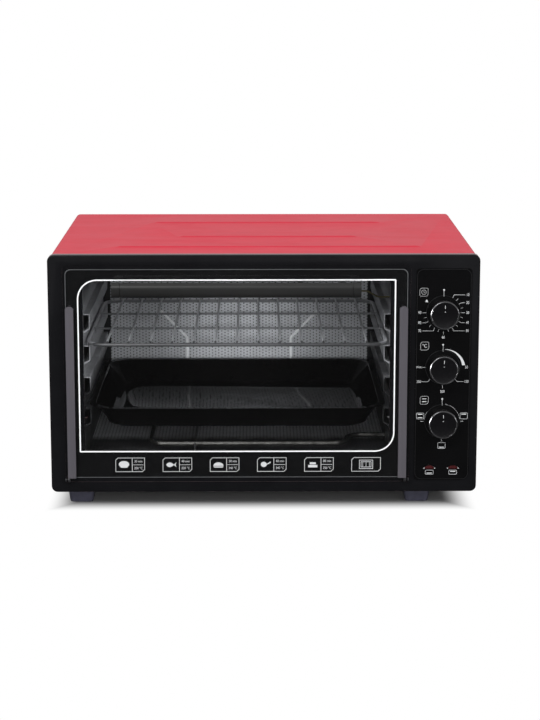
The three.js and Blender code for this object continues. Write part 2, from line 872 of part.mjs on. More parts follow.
addPart("cavity_side_right", cavitySide(1), "liner");

// Roof and floor sheets close the cavity above and below the sides
const linerPlate = (z0, z1) =>
  boxBetween(
    [cavityLeft - linerSheet, cavityFront, z0],
    [cavityRight + linerSheet, cavityBack - seatGap, z1],
  );
addPart("cavity_roof", linerPlate(cavityTop, cavityTop + linerSheet), "liner");
addPart("cavity_floor", linerPlate(cavityFloor - linerSheet, cavityFloor), "liner");

// Back sheet: two stiffening beads run up the wall and splay outwards at the top
const ribHalfGap = 77;
const ribSplay = 39;
const ribKinkRise = 97.5;
const ribTopRise = 138.5;
const ribFootRise = 22;
const ribRadius = 2.2;
const ribBend = 5;
const ribSides = 8;
{
  const plate = boxBetween(
    [cavityLeft - linerSheet, cavityBack, cavityFloor - linerSheet],
    [cavityRight + linerSheet, cavityBack + linerSheet, cavityTop + linerSheet],
  );
  const ribs = [-1, 1].map((side) => {
    const at = (across, rise) =>
      new THREE.Vector3(doorCentre + side * across, cavityBack + ribRadius / 4, cavityFloor + rise);
    const corners = [
      at(ribHalfGap + ribSplay, ribTopRise),
      at(ribHalfGap, ribKinkRise),
      at(ribHalfGap, ribFootRise),
    ];
    return tubeAlong(bentPath(corners, ribBend, 2), ribRadius, ribSides);
  });
  const clear = boxBetween(
    [cavityLeft, cavityBack + linerSheet, cavityFloor],
    [cavityRight, cavityBack + linerSheet + cutOverrun, cavityTop],
  );
  addPart("cavity_back", carved(joined(plate, ...ribs), clear), "liner");
}

// Heaters: one tube each, bent into an open loop, with both ends out through the right side sheet
const heaterSides = 8;
const heaterBend = 20;
const heaterBendSteps = 4;
const heaterEndX = cavityRight + linerSheet + heaterTail;
const upperSpan = { left: cavityLeft + heaterBend * 2, right: cavityRight - heaterBend * 2 };
const lowerHeaterLeftInset = 84;
const lowerHeaterRightInset = 54;
const lowerSpan = { left: cavityLeft + lowerHeaterLeftInset, right: cavityRight - lowerHeaterRightInset };
function heaterTube(z, span) {
  const corners = [
    [heaterEndX, heaterEndRows.front],
    [span.right, heaterEndRows.front],
    [span.right, heaterFront],
    [span.left, heaterFront],
    [span.left, heaterBack],
    [heaterEndX, heaterBack],
  ].map(([x, y]) => new THREE.Vector3(x, y, z));
  return tubeAlong(bentPath(corners, heaterBend, heaterBendSteps), heaterRadius, heaterSides);
}
addPart("upper_heater", heaterTube(upperHeaterZ, upperSpan), "heater");
addPart("lower_heater", heaterTube(lowerHeaterZ, lowerSpan), "heater");

// Heater combs: notched straps that carry the tubes, one hung from the roof and one standing on the floor
const combSheet = 1.5;
const combFromBend = 60;
const combMargin = 10;
function heaterComb(x, rootZ, heaterZ) {
  const towards = Math.sign(heaterZ - rootZ);
  const [z0, z1] = sorted([rootZ + towards * seatGap, heaterZ + towards * heaterRadius * 0.6]);
  const plate = boxBetween(
    [x - combSheet / 2, heaterFront - combMargin, z0],
    [x + combSheet / 2, heaterBack + combMargin, z1],
  );
  const notches = [heaterFront, heaterBack].flatMap((y) => {
    const r = heaterRadius + seatGap;
    const round = rodX(r, x - cutOverrun, x + cutOverrun, y, heaterZ, shaftSides);
    const [n0, n1] = sorted([heaterZ, heaterZ + towards * cutOverrun]);
    const open = boxBetween([x - cutOverrun, y - r, n0], [x + cutOverrun, y + r, n1]);
    return [round, open];
  });
  return carved(solidOf(plate), ...notches);
}
addPart("upper_heater_comb", heaterComb(upperSpan.left + combFromBend, cavityTop, upperHeaterZ), "zinc");
addPart(
  "lower_heater_comb",
  heaterComb(lowerSpan.left + combFromBend, cavityFloor, lowerHeaterZ),
  "zinc",
);

// Heater terminals: a ceramic bead and a blade on each of the four ends
const beadRadius = 4.6;
const beadLength = 9;
const bladeWidth = 6.3;
const bladeThickness = 0.8;
const bladeLength = 9;
for (const [level, z] of Object.entries({ upper: upperHeaterZ, lower: lowerHeaterZ })) {
  for (const [row, y] of Object.entries(heaterEndRows)) {
    const start = heaterEndX + seatGap;
    const collar = rodX(beadRadius, start, start + beadLength, y, z, holeSides / 2);
    const blade = boxBetween(
      [start + beadLength / 2, y - bladeWidth / 2, z - bladeThickness / 2],
      [start + beadLength + bladeLength, y + bladeWidth / 2, z + bladeThickness / 2],
    );
    addPart(`${level}_terminal_${row}`, joined(collar, blade), "ceramic");
  }
}

// Wire rack: a rounded outer rail with wires running front to back and two cross wires under them
const rackLevel = 2;
const rackSideGap = 2;
const railRadius = 2.5;
const rackWireRadius = 1.5;
const rackFront = 20;
const rackFromBack = 16;
const rackDepth = cavityDepth - rackFront - rackFromBack;
const rackCorner = 22;
const rackWireMargin = 26.6;
const rackWires = 13;
const rackCrossWires = 2;
const weld = 0.7;
const railSides = 8;
const wireSides = 6;
{
  const z = guideTop(rackLevel) + seatGap + railRadius;
  const left = cavityLeft + rackSideGap + railRadius;
  const right = cavityRight - rackSideGap - railRadius;
  const front = cavityFront + rackFront;
  const back = front + rackDepth;
  const corner = (x, y) => new THREE.Vector3(x, y, z);
  const loop = bentPath(
    [corner(left, front), corner(right, front), corner(right, back), corner(left, back)],
    rackCorner,
    cornerSteps,
    true,
  );
  const wireZ = z + railRadius + rackWireRadius - weld;
  const firstWire = left + rackWireMargin;
  const lastWire = right - rackWireMargin;
  const wires = Array.from({ length: rackWires }, (_, i) => {
    const x = firstWire + (i / (rackWires - 1)) * (lastWire - firstWire);
    return rodY(rackWireRadius, front - railRadius, back + railRadius, x, wireZ, wireSides);
  });
  const crossZ = wireZ - 2 * rackWireRadius + weld;
  const crosses = Array.from({ length: rackCrossWires }, (_, i) => {
    const y = front + ((i + 1) / (rackCrossWires + 1)) * rackDepth;
    return rodX(rackWireRadius, left, right, y, crossZ, wireSides);
  });
  addPart(
    "wire_rack",
    joined(tubeAlong(loop, railRadius, railSides, true), ...wires, ...crosses),
    "chrome",
  );
}

// Baking tray: a deep enamelled pan whose rim rests on the lowest guides
const trayLevel = 0;
const trayRimGap = 3;
const trayBodyGap = 3;
const trayFront = 20;
const trayFromBack = 14;
const trayDepth = cavityDepth - trayFront - trayFromBack;
const trayHeight = 31.5;
const traySheet = 1;
const trayDraft = 14;
const trayCorner = 34;
const trayFillet = 8;
{
  const rimWidth = cavityWidth - 2 * trayRimGap;
  const rimReach = guideReach + trayBodyGap - trayRimGap;
  const bodyWidth = rimWidth - 2 * rimReach;
  const bodyDepthTop = trayDepth - 2 * rimReach;
  const centreY = cavityFront + trayFront + trayDepth / 2;
  const rimLow = guideTop(trayLevel) + seatGap;
  const rimHigh = rimLow + traySheet;
  const bottom = rimHigh - trayHeight;
  const ring = (inset, corner, z) =>
    ringAt(doorCentre, centreY, bodyWidth - 2 * inset, bodyDepthTop - 2 * inset, corner, z);
  addPart(
    "baking_tray",
    lofted([
      ring(trayDraft + trayFillet, trayCorner - trayFillet, bottom),
      ring(trayDraft + trayFillet * 0.3, trayCorner - trayFillet * 0.3, bottom + trayFillet * 0.3),
      ring(trayDraft, trayCorner, bottom + trayFillet),
      ring(0, trayCorner, rimLow),
      ring(-rimReach, trayCorner + rimReach, rimLow),
      ring(-rimReach, trayCorner + rimReach, rimHigh),
      ring(traySheet, trayCorner - traySheet, rimHigh),
      ring(trayDraft + traySheet, trayCorner - traySheet, bottom + trayFillet + traySheet / 2),
      ring(
        trayDraft + traySheet + trayFillet * 0.3,
        trayCorner - traySheet - trayFillet * 0.3,
        bottom + traySheet + trayFillet * 0.3,
      ),
      ring(trayDraft + traySheet + trayFillet, trayCorner - traySheet - trayFillet, bottom + traySheet),
    ]),
    "enamel",
  );
}

// Thermostat bulb: a thin bulb clipped under the roof, with its capillary out through the right side
// sheet
const bulbRadius = 3;
const bulbLength = 92;
const bulbFromRight = 44;
const capillaryDip = 8;
const bulbRight = cavityRight - bulbFromRight;
const bulbZ = capillaryZ + capillaryDip;
{
  const profile = [
    [0, 0],
    [bulbRadius * 0.7, 0],
    [bulbRadius, bulbRadius],
    [bulbRadius, bulbLength - bulbRadius],
    [capillaryRadius, bulbLength],
    [0, bulbLength],
  ].map(([r, y]) => new THREE.Vector2(r, y));
  const bulb = new THREE.LatheGeometry(profile, railSides * 2)
    .rotateZ(-Math.PI / 2)
    .translate(bulbRight - bulbLength, capillaryY, bulbZ);
  const corners = [
    [bulbRight - bulbRadius, bulbZ],
    [bulbRight + bulbFromRight / 3, bulbZ],
    [cavityRight - bulbFromRight / 3, capillaryZ],
    [cavityRight + linerSheet + heaterTail, capillaryZ],
  ].map(([x, z]) => new THREE.Vector3(x, capillaryY, z));
  const capillary = tubeAlong(
    bentPath(corners, bulbRadius * 2, cornerSteps / 2),
    capillaryRadius,
    wireSides,
  );
  addPart("thermostat_bulb", joined(bulb, capillary), "brass");
}

const clipSheet = 1;
const clipWidth = 7;
const clipInset = 18;
const clipGrip = bulbRadius + seatGap + clipSheet;
for (const side of [-1, 1]) {
  const x = bulbRight - bulbLength / 2 + side * (bulbLength / 2 - clipInset);
  const strap = alongX(
    roundedRect(
      capillaryY - clipGrip,
      capillaryY + clipGrip,
      bulbZ - clipGrip,
      bulbZ + clipGrip,
      clipGrip * 0.9,
    ),
    x - clipWidth / 2,
    x + clipWidth / 2,
  );
  const leg = boxBetween(
    [x - clipWidth / 2, capillaryY - clipSheet / 2, bulbZ + bulbRadius + seatGap],
    [x + clipWidth / 2, capillaryY + clipSheet / 2, cavityTop - seatGap],
  );
  const grip = rodX(bulbRadius + seatGap, x - clipWidth, x + clipWidth, capillaryY, bulbZ, railSides * 2);
  addPart(`bulb_clip_${side < 0 ? "left" : "right"}`, carved(joined(strap, leg), grip), "zinc");
}

// Controls behind the frame: timer, thermostat and selector, each with a bush through the frame
const controlBack = steelSheet + seatGap;
const selectorWidth = 46;
const selectorHeight = 38;
const selectorDepth = 30;
const thermostatWidth = 42;
const thermostatHeight = 46;
const thermostatDepth = 34;
const timerSide = 52;
const timerDepth = 30;
const controls = [
  { name: "selector_switch", width: selectorWidth, height: selectorHeight, depth: selectorDepth },
  { name: "thermostat_body", width: thermostatWidth, height: thermostatHeight, depth: thermostatDepth },
  { name: "timer_body", width: timerSide, height: timerSide, depth: timerDepth },
];
const shaftBoreDepth = 11;
const bushFront = panelBack - seatGap * 2;
const bellRadius = 19;
const bellHeight = 12;
const lugWidth = 12;
const lugSheet = 2;
const controlCorner = 4;
controls.forEach(({ name, width, height, depth }, i) => {
  const z = knobHeights[i];
  const housing = alongY(
    roundedRect(
      knobCentre - width / 2,
      knobCentre + width / 2,
      z - height / 2,
      z + height / 2,
      controlCorner,
    ),
    controlBack,
    controlBack + depth,
  );
  const ears = boxBetween(
    [knobCentre - lugWidth / 2, controlBack, z - height / 2 - lugWidth / 2],
    [knobCentre + lugWidth / 2, controlBack + lugSheet, z + height / 2 + lugWidth / 2],
  );
  const bush = rodY(bushRadius, bushFront, controlBack + lugSheet, knobCentre, z, shaftSides);
  const pieces = [housing, ears, bush];
  if (name === "timer_body") {
    pieces.push(
      turnedY(
        [
          [0, controlBack + depth - lugSheet],
          [bellRadius, controlBack + depth - lugSheet],
          [bellRadius, controlBack + depth + bellHeight * 0.45],
          [bellRadius * 0.75, controlBack + depth + bellHeight * 0.9],
          [0, controlBack + depth + bellHeight],
        ],
        knobCentre,
        z,
        shaftSides,
      ),
    );
  }
  const bore = rodY(
    shaftRadius + turnGap,
    bushFront - cutOverrun,
    controlBack + shaftBoreDepth,
    knobCentre,
    z,
    shaftSides,
  );
  addPart(name, carved(joined(...pieces), bore), name === "thermostat_body" ? "zinc" : "ceramic");
});

// Knobs and their flatted shafts. A knob is a cup with a hub, widest at its rim. Its sunk face carries
// a pointer line and a dot
const knobNames = ["selector", "thermostat", "timer"];
const knobWall = 2;
const knobHubRadius = 6;
const knobFaceSheet = 2.6;
const knobStandOff = 1;
const knobEdge = 0.9;
const knobTaper = 1.4;
const knobRim = 2.6;
const knobDish = 0.5;
const shaftFlat = 1.1;
const pointerWidth = 1;
const pointerDepth = 0.4;
const pointerFrom = 8.8;
const pointerTo = 13.4;
const pointerDotRise = 4.8;
const pointerDotRadius = 0.8;
const knobBack = panelFront - knobStandOff;
const knobFront = knobBack - knobLength;
const pointerFloor = knobFront + knobDish + pointerDepth;
const shaftFront = knobFront + knobFaceSheet + 2 * seatGap;
const shaftBack = controlBack + shaftBoreDepth - seatGap;
knobNames.forEach((name, i) => {
  const z = knobHeights[i];
  const cup = turnedY(
    [
      [0, knobFront + knobDish],
      [knobRadius - knobRim - knobDish, knobFront + knobDish],
      [knobRadius - knobRim, knobFront],
      [knobRadius - knobEdge, knobFront],
      [knobRadius, knobFront + knobEdge],
      [knobRadius - knobTaper, knobBack],
      [knobRadius - knobTaper - knobWall, knobBack],
      [knobRadius - knobWall, knobFront + knobFaceSheet],
      [knobHubRadius, knobFront + knobFaceSheet],
      [knobHubRadius, knobBack - knobWall],
      [0, knobBack - knobWall],
    ],
    knobCentre,
    z,
    knobSides,
  );
  const dRod = (grow, near, far) => {
    const round = rodY(shaftRadius + grow, near, far, knobCentre, z, shaftSides);
    const flat = boxBetween(
      [knobCentre - shaftRadius - cutOverrun, near - cutOverrun, z + shaftRadius - shaftFlat + grow],
      [knobCentre + shaftRadius + cutOverrun, far + cutOverrun, z + shaftRadius + cutOverrun],
    );
    return geometryOf(carved(solidOf(round), flat));
  };
  const bore = dRod(seatGap, shaftFront - seatGap, knobBack + cutOverrun);
  const pointer = boxBetween(
    [knobCentre - pointerWidth / 2, knobFront - cutOverrun, z + pointerFrom],
    [knobCentre + pointerWidth / 2, pointerFloor, z + pointerTo],
  );
  const dot = rodY(pointerDotRadius, knobFront - cutOverrun, pointerFloor, knobCentre, z + pointerDotRise);
  addPart(`${name}_knob`, carved(solidOf(cup), bore, pointer, dot), "satinBlack");
  const round = rodY(shaftRadius, knobBack - knobWall, shaftBack, knobCentre, z, shaftSides);
  addPart(`${name}_shaft`, joined(dRod(0, shaftFront, knobBack - knobWall / 2), round), "zinc");
});

// Pilot lamps: a red lens through the panel, and the socket behind the frame
const lensProud = 1;
const lensLength = 12;
const socketWall = 1.4;
const socketLength = 22;
lampCentres.forEach((x, i) => {
  const side = i === 0 ? "left" : "right";
  const lensFront = panelFront - lensProud;
  addPart(`pilot_lens_${side}`, alongY(lampOutline(x, 0), lensFront, lensFront + lensLength), "lens");
  const shell = alongY(lampOutline(x, socketWall + seatGap), controlBack, controlBack + socketLength);
  const well = alongY(lampOutline(x, seatGap), controlBack - cutOverrun, controlBack + lensLength);
  addPart(`pilot_socket_${side}`, carved(solidOf(shell), well), "ceramic");
});
// Terminal block: where the supply would meet the oven's own wiring
const blockWidth = 44;
const blockDepth = 20;
const blockFromRear = 62;
const blockHeight = 15;
const blockWays = 3;
const blockGroove = 2;
{
  const z0 = baseHigh + seatGap;
  const left = glandX - blockWidth / 2;
  const back = rearFront - blockFromRear;
  const block = boxBetween([left, back - blockDepth, z0], [left + blockWidth, back, z0 + blockHeight]);
  const grooves = Array.from({ length: blockWays - 1 }, (_, i) => {
    const x = left + ((i + 1) / blockWays) * blockWidth;
    return boxBetween(
      [x - blockGroove / 2, back - blockDepth - cutOverrun, z0 + blockHeight / 2],
      [x + blockGroove / 2, back + cutOverrun, z0 + blockHeight + cutOverrun],
    );
  });
  addPart("terminal_block", carved(solidOf(block), ...grooves), "ceramic");
}

// Door: glass, side strips, handle and hinge brackets, all of which swing together
const glassTopCorner = 4;
const glassBottomCorner = 1.5;
const handleInset = 62.2;
const handleLength = doorWidth - 2 * handleInset;
const handleHeight = 19;
const handleDepth = 14;
const handleDrop = 23;
const handleStandOff = 19.5;
const handleEndWidth = 10.5;
const handleBarCorner = 6.5;
const handleBolt = 2;
const handleBoltLength = 16;
const washerRadius = 5;
const washerHeight = 1.5;
const stripScrewInset = 22;
const stripScrews = 2;
const handleZ = doorTop - handleDrop;
const handleBack = glassFront - handleStandOff;
const handleFront = handleBack - handleDepth;
const handleEnds = [-1, 1].map((side) => doorCentre + (side * (handleLength - handleEndWidth)) / 2);
const stripTop = doorBottom + stripHeight;
const stripScrewSpan = stripHeight - armRadius - 2 * stripScrewInset;
const stripScrewHeights = Array.from(
  { length: stripScrews },
  (_, i) => doorBottom + armRadius + stripScrewInset + (i / (stripScrews - 1)) * stripScrewSpan,
);
const stripScrewSpots = [-1, 1].flatMap((side) => {
  const { strip } = hingeSide(side);
  return stripScrewHeights.map((z) => [(strip[0] + strip[1]) / 2, z]);
});
{
  const pane = alongY(
    roundedRect(doorLeft, doorRight, doorBottom, doorTop, [
      glassBottomCorner,
      glassBottomCorner,
      glassTopCorner,
      glassTopCorner,
    ]),
    glassFront,
    glassBack,
  );
  const screwHoles = stripScrewSpots.map(([x, z]) =>
    rodY(screwRadius + seatGap, glassFront - cutOverrun, glassBack + cutOverrun, x, z, holeSides / 2),
  );
  const boltHoles = handleEnds.map((x) =>
    rodY(
      handleBolt + seatGap,
      glassFront - cutOverrun,
      glassBack + cutOverrun,
      x,
      handleZ,
      holeSides / 2,
    ),
  );
  addPart("door_glass", carved(solidOf(pane), ...screwHoles, ...boltHoles), "glass");
}

for (const side of [-1, 1]) {
  const name = side < 0 ? "left" : "right";
  const { edge, inward, ear, arm, strip } = hingeSide(side);
  const [s0, s1] = sorted(strip);
  const stripBack = glassFront - seatGap;
  const crown = stripWidth * 0.28;
  const outline = new THREE.Shape();
  outline.moveTo(s0, doorBottom);
  outline.lineTo(s1, doorBottom);
  outline.lineTo(s1, stripTop - crown);
  outline.quadraticCurveTo((s0 + s1) / 2, stripTop + crown, s0, stripTop - crown);
  const cap = alongY(outline, stripBack - stripThickness, stripBack);
  const blindHoles = stripScrewSpots
    .filter(([x]) => x > s0 && x < s1)
    .map(([x, z]) =>
      rodY(
        screwRadius + seatGap,
        stripBack - stripThickness / 2,
        stripBack + cutOverrun,
        x,
        z,
        holeSides / 2,
      ),
    );
  addPart(`door_strip_${name}`, carved(solidOf(cap), ...blindHoles), "trim");

  // The bracket lies behind the glass. Its ear turns under the glass to the pivot, and its arm curves
  // into the body.
  const plateFront = glassBack + seatGap;
  const plateBack = plateFront + bracketSheet;
  const plate = boxBetween([s0, plateFront, doorBottom], [s1, plateBack, stripTop - crown]);
  const [e0, e1] = sorted(ear);
  const earShape = new THREE.Shape();
  earShape.absarc(pivotY, pivotZ, pivotEarRadius, Math.PI * 0.5, Math.PI * 1.75, false);
  earShape.lineTo(plateBack, doorBottom);
  earShape.lineTo(plateBack, doorBottom + pivotEarRadius * 2);
  earShape.lineTo(plateFront, doorBottom + pivotEarRadius * 2);
  earShape.lineTo(plateFront, pivotZ + pivotEarRadius);
  const [a0, a1] = sorted(arm);
  const armShape = new THREE.Shape();
  const startAngle = Math.acos((plateFront - pivotY) / (armRadius - armWidth / 2));
  armShape.absarc(pivotY, pivotZ, armRadius + armWidth / 2, startAngle, -armTailAngle, true);
  armShape.absarc(pivotY, pivotZ, armRadius - armWidth / 2, -armTailAngle, startAngle, false);
  const hookY = pivotY + armRadius * Math.cos(armTailAngle * 0.75);
  const hookZ = pivotZ - armRadius * Math.sin(armTailAngle * 0.75);
  const holes = stripScrewSpots
    .filter(([x]) => x > s0 && x < s1)
    .map(([x, z]) =>
      rodY(
        screwRadius + seatGap,
        plateFront - cutOverrun / 4,
        plateBack + cutOverrun,
        x,
        z,
        holeSides / 2,
      ),
    );
  const pinHole = rodX(pivotPinRadius + turnGap, e0 - cutOverrun, e1 + cutOverrun, pivotY, pivotZ);
  const hookHole = rodX(anchorHoleRadius * 0.8, a0 - cutOverrun, a1 + cutOverrun, hookY, hookZ);
  addPart(
    `hinge_bracket_${name}`,
    carved(
      joined(plate, alongX(earShape, e0, e1), alongX(armShape, a0, a1, armSteps)),
      ...holes,
      pinHole,
      hookHole,
    ),
    "zinc",
  );

  // Pivot pin: headed, fixed in the frame's lug, with its tip inside the bracket's ear
  const lugOuter = edge - inward * (seatGap + pivotEarThickness);
  const shank = sorted([lugOuter - inward * seatGap, edge + inward * (pivotEarThickness - seatGap)]);
  const head = sorted([lugOuter - inward * seatGap, lugOuter - inward * (seatGap + pinHeadThickness)]);
  addPart(
    `hinge_pin_${name}`,
    joined(
      rodX(
        pivotPinRadius,
        ...(side < 0 ? [head[0], shank[1]] : [shank[0], head[1]]),
        pivotY,
        pivotZ,
        shaftSides,
      ),
      rodX(pinHeadRadius, head[0], head[1], pivotY, pivotZ, shaftSides),
    ),
    "chrome",
  );
}

// Handle: an anodised bar between two moulded ends that stand off the glass
const barInset = (handleLength - 2 * handleEndWidth) / 2 - seatGap;
addPart(
  "handle_bar",
  alongX(
    roundedRect(
      handleFront,
      handleBack,
      handleZ - handleHeight / 2,
      handleZ + handleHeight / 2,
      handleBarCorner,
    ),
    doorCentre - barInset,
    doorCentre + barInset,
  ),
  "handle",
);
handleEnds.forEach((x, i) => {
  const half = handleEndWidth / 2;
  const stem = glassFront - seatGap;
  const profile = new THREE.Shape();
  const low = handleZ - handleHeight / 2;
  const high = handleZ + handleHeight / 2;
  const waist = handleHeight / 4;
  profile.moveTo(stem, handleZ - waist);
  profile.lineTo(stem, handleZ + waist);
  profile.quadraticCurveTo(handleBack + handleBarCorner, handleZ + waist, handleBack, high - seatGap);
  profile.lineTo(handleFront + handleBarCorner, high);
  profile.absarc(
    handleFront + handleBarCorner,
    high - handleBarCorner,
    handleBarCorner,
    Math.PI / 2,
    Math.PI,
    false,
  );
  profile.absarc(
    handleFront + handleBarCorner,
    low + handleBarCorner,
    handleBarCorner,
    Math.PI,
    Math.PI * 1.5,
    false,
  );
  profile.lineTo(handleBack, low + seatGap);
  profile.quadraticCurveTo(handleBack + handleBarCorner, handleZ - waist, stem, handleZ - waist);
  const body = alongX(profile, x - half, x + half, cornerSteps + 2);
  const thread = rodY(
    handleBolt + seatGap,
    stem - handleBoltLength,
    stem + cutOverrun,
    x,
    handleZ,
    holeSides / 2,
  );
  addPart(`handle_end_${i === 0 ? "left" : "right"}`, carved(solidOf(body), thread), "handle");
});
handleEnds.forEach((x, i) => {
  const washerFront = glassBack + seatGap;
  const tip = glassFront - handleBoltLength + 2 * seatGap;
  const bolt = turnedY(
    [
      [0, washerFront + washerHeight],
      [washerRadius * 0.8, washerFront + washerHeight],
      [washerRadius, washerFront + washerHeight / 2],
      [washerRadius, washerFront],
      [handleBolt, washerFront],
      [handleBolt, tip],
      [0, tip],
    ],
    x,
    handleZ,
    holeSides / 2,
  );
  addPart(`handle_bolt_${i === 0 ? "left" : "right"}`, bolt, "zinc");
});

// Door springs: each coil pulls an arm's tail back towards its tab on the base
const springCurls = 10;
const springStepsPerCurl = 8;
const springSides = 5;
const springEnd = 7;

// The least gap between two curls of a coil, measured on its points.
function leastGap(points, wire, stepsPerCurl) {
  let least = Infinity;
  points.forEach((a, i) => {
    for (const b of points.slice(i + stepsPerCurl / 2)) least = Math.min(least, a.distanceTo(b));
  });
  return least - 2 * wire;
}
for (const side of [-1, 1]) {
  const x = armPlaneX(side);
  const outerArm = Math.sqrt((armRadius + armWidth / 2) ** 2 - (springZ - pivotZ) ** 2);
  const hook = pivotY + outerArm + seatGap;
  const from = hook + springEnd;
  const to = anchorY - seatGap - springEnd;
  const total = springCurls * springStepsPerCurl;
  const coil = Array.from({ length: total + 1 }, (_, i) => {
    const turn = (i / springStepsPerCurl) * Math.PI * 2;
    return new THREE.Vector3(
      x + springRadius * Math.sin(turn),
      from + (i / total) * (to - from),
      springZ + springRadius * Math.cos(turn),
    );
  });
  const straight = (y) => new THREE.Vector3(x, y, springZ);
  const points = [
    straight(hook),
    straight(from - springEnd / 2),
    ...coil,
    straight(to + springEnd / 2),
    straight(anchorY - seatGap),
  ];
  const name = `door_spring_${side < 0 ? "left" : "right"}`;
  addPart(name, tubeAlong(points, springWire, springSides), "chrome");
  console.log(
    `${name}: least gap between curls ${leastGap(coil, springWire, springStepsPerCurl).toFixed(2)} mm`,
  );
}

// The finished oven stands on the table with its origin under the middle of its overall depth
const frontReach = Math.min(handleFront, knobFront);
const backReach = Math.max(bodyDepth, rearBack + seatGap + glandFlange);
oven.position.y = -(frontReach + backReach) / 2;

export default oven;
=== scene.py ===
import json
import math

import bmesh
import bpy
from mathutils import Matrix, Vector

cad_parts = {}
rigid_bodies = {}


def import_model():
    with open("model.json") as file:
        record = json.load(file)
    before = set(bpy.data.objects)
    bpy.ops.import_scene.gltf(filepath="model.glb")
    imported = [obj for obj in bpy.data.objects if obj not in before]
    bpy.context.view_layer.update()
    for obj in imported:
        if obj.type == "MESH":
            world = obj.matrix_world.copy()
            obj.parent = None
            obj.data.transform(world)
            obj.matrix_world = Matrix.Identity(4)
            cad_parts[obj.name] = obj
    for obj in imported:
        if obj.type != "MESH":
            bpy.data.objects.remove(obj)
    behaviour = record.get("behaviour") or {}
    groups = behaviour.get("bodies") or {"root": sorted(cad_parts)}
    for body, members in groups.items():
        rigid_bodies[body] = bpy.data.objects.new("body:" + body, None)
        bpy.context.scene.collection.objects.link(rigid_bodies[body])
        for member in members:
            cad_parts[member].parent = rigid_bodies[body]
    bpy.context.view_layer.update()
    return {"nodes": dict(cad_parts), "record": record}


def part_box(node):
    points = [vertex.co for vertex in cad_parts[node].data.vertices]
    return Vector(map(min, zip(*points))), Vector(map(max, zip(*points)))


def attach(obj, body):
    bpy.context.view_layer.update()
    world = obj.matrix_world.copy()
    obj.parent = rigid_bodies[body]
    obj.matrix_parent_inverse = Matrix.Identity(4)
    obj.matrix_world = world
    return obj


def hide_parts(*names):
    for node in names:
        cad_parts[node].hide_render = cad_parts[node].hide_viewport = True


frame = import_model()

mm = 0.001
scene = bpy.context.scene
scene.view_settings.view_transform = "Standard"
print("frame loaded:", len(frame["nodes"]), "nodes")


# Small makers that the materials and the pieces share

def setAll(thing, **values):
    for key, value in values.items():
        setattr(thing, key, value)
    return thing


def feed(tree, sockets, values):
    # Links each socket to another one, or sets its value
    for key, value in values.items():
        if isinstance(value, bpy.types.NodeSocket):
            tree.links.new(value, sockets[key])
        else:
            sockets[key].default_value = value


def inMm(**sizes):
    # Sizes that are given in mm, for the pieces' dictionaries
    return {key: tuple(part * mm for part in size) if isinstance(size, tuple) else size * mm
            for key, size in sizes.items()}


def addNode(tree, kind, sockets={}, **settings):
    made = setAll(tree.nodes.new("ShaderNode" + kind), **settings)
    feed(tree, made.inputs, sockets)
    return made


def calc(tree, operation, *values):
    return addNode(tree, "Math", dict(enumerate(values)), operation=operation).outputs[0]


def times(tree, first, second):
    return calc(tree, "MULTIPLY", first, second)


def minus(tree, first, second):
    return calc(tree, "SUBTRACT", first, second)


def vectors(tree, operation, first, second, output=0):
    return addNode(tree, "VectorMath", {0: first, 1: second}, operation=operation).outputs[output]


def rangeMap(tree, value, low, high, newLow=0.0, newHigh=1.0, **settings):
    spans = {0: value, 1: low, 2: high, 3: newLow, 4: newHigh}
    return addNode(tree, "MapRange", spans, **settings).outputs[0]


def opaque(colour):
    return colour if isinstance(colour, bpy.types.NodeSocket) else (*colour, 1.0)


def mixColour(tree, amount, first, second):
    sockets = {0: amount, 6: opaque(first), 7: opaque(second)}
    return addNode(tree, "Mix", sockets, data_type="RGBA").outputs[2]


def partsOf(tree, vector):
    return addNode(tree, "SeparateXYZ", {0: vector}).outputs


def spotOn(tree):
    return addNode(tree, "TexCoord").outputs["Object"]


def normalOf(tree):
    return addNode(tree, "NewGeometry").outputs["Normal"]


def noiseOn(tree, where, scale, detail, roughness=0.5, distortion=0.0):
    sockets = {"Vector": where, "Scale": scale, "Detail": detail, "Roughness": roughness}
    return addNode(tree, "TexNoise", {**sockets, "Distortion": distortion}).outputs["Fac"]


def newGroup(name, inputs, outputs):
    tree = bpy.data.node_groups.new(name, "ShaderNodeTree")
    for label, value in inputs.items():
        kind = "NodeSocketVector" if isinstance(value, tuple) else "NodeSocketFloat"
        tree.interface.new_socket(label, in_out="INPUT", socket_type=kind).default_value = value
    for label in outputs:
        tree.interface.new_socket(label, in_out="OUTPUT", socket_type="NodeSocketFloat")
    return tree, tree.nodes.new("NodeGroupInput").outputs, tree.nodes.new("NodeGroupOutput").inputs


def place(tree, group, **values):
    return addNode(tree, "Group", values, node_tree=group).outputs


# Effects that several finishes use. Each span says where an effect begins and where it is full

effect = dict(
    grainDetail=(4.0, 0.55),  # detail and roughness of the noise
    shadeScale=0.09,  # the uneven colour is that much coarser than the grain
    shadeDetail=2.0, shadeSpan=(0.3, 0.7),
    wipe=(0.35, 1.0, 1.6),  # smudges are drawn out sideways
    smudgeDetail=(5.0, 0.6, 0.6), smudgeSpan=(0.42, 0.72),
    bevelSamples=6, edgeSpan=(1.0, 0.8),
    wearScale=90.0, wearDetail=4.0,
    wearSpan=(0.4, 0.65, 0.15),  # the third number is what is left between the patches
    dustScale=14.0, dustDetail=6.0, dustUp=(0.4, 1.0), dustSpan=(0.35, 0.75, 0.3),
    dimpleSpan=(0.45, 1.25),  # in radii of a dimple
    paintedShadeScale=45.0, paintedShadeDetail=(5.0, 0.65),
)


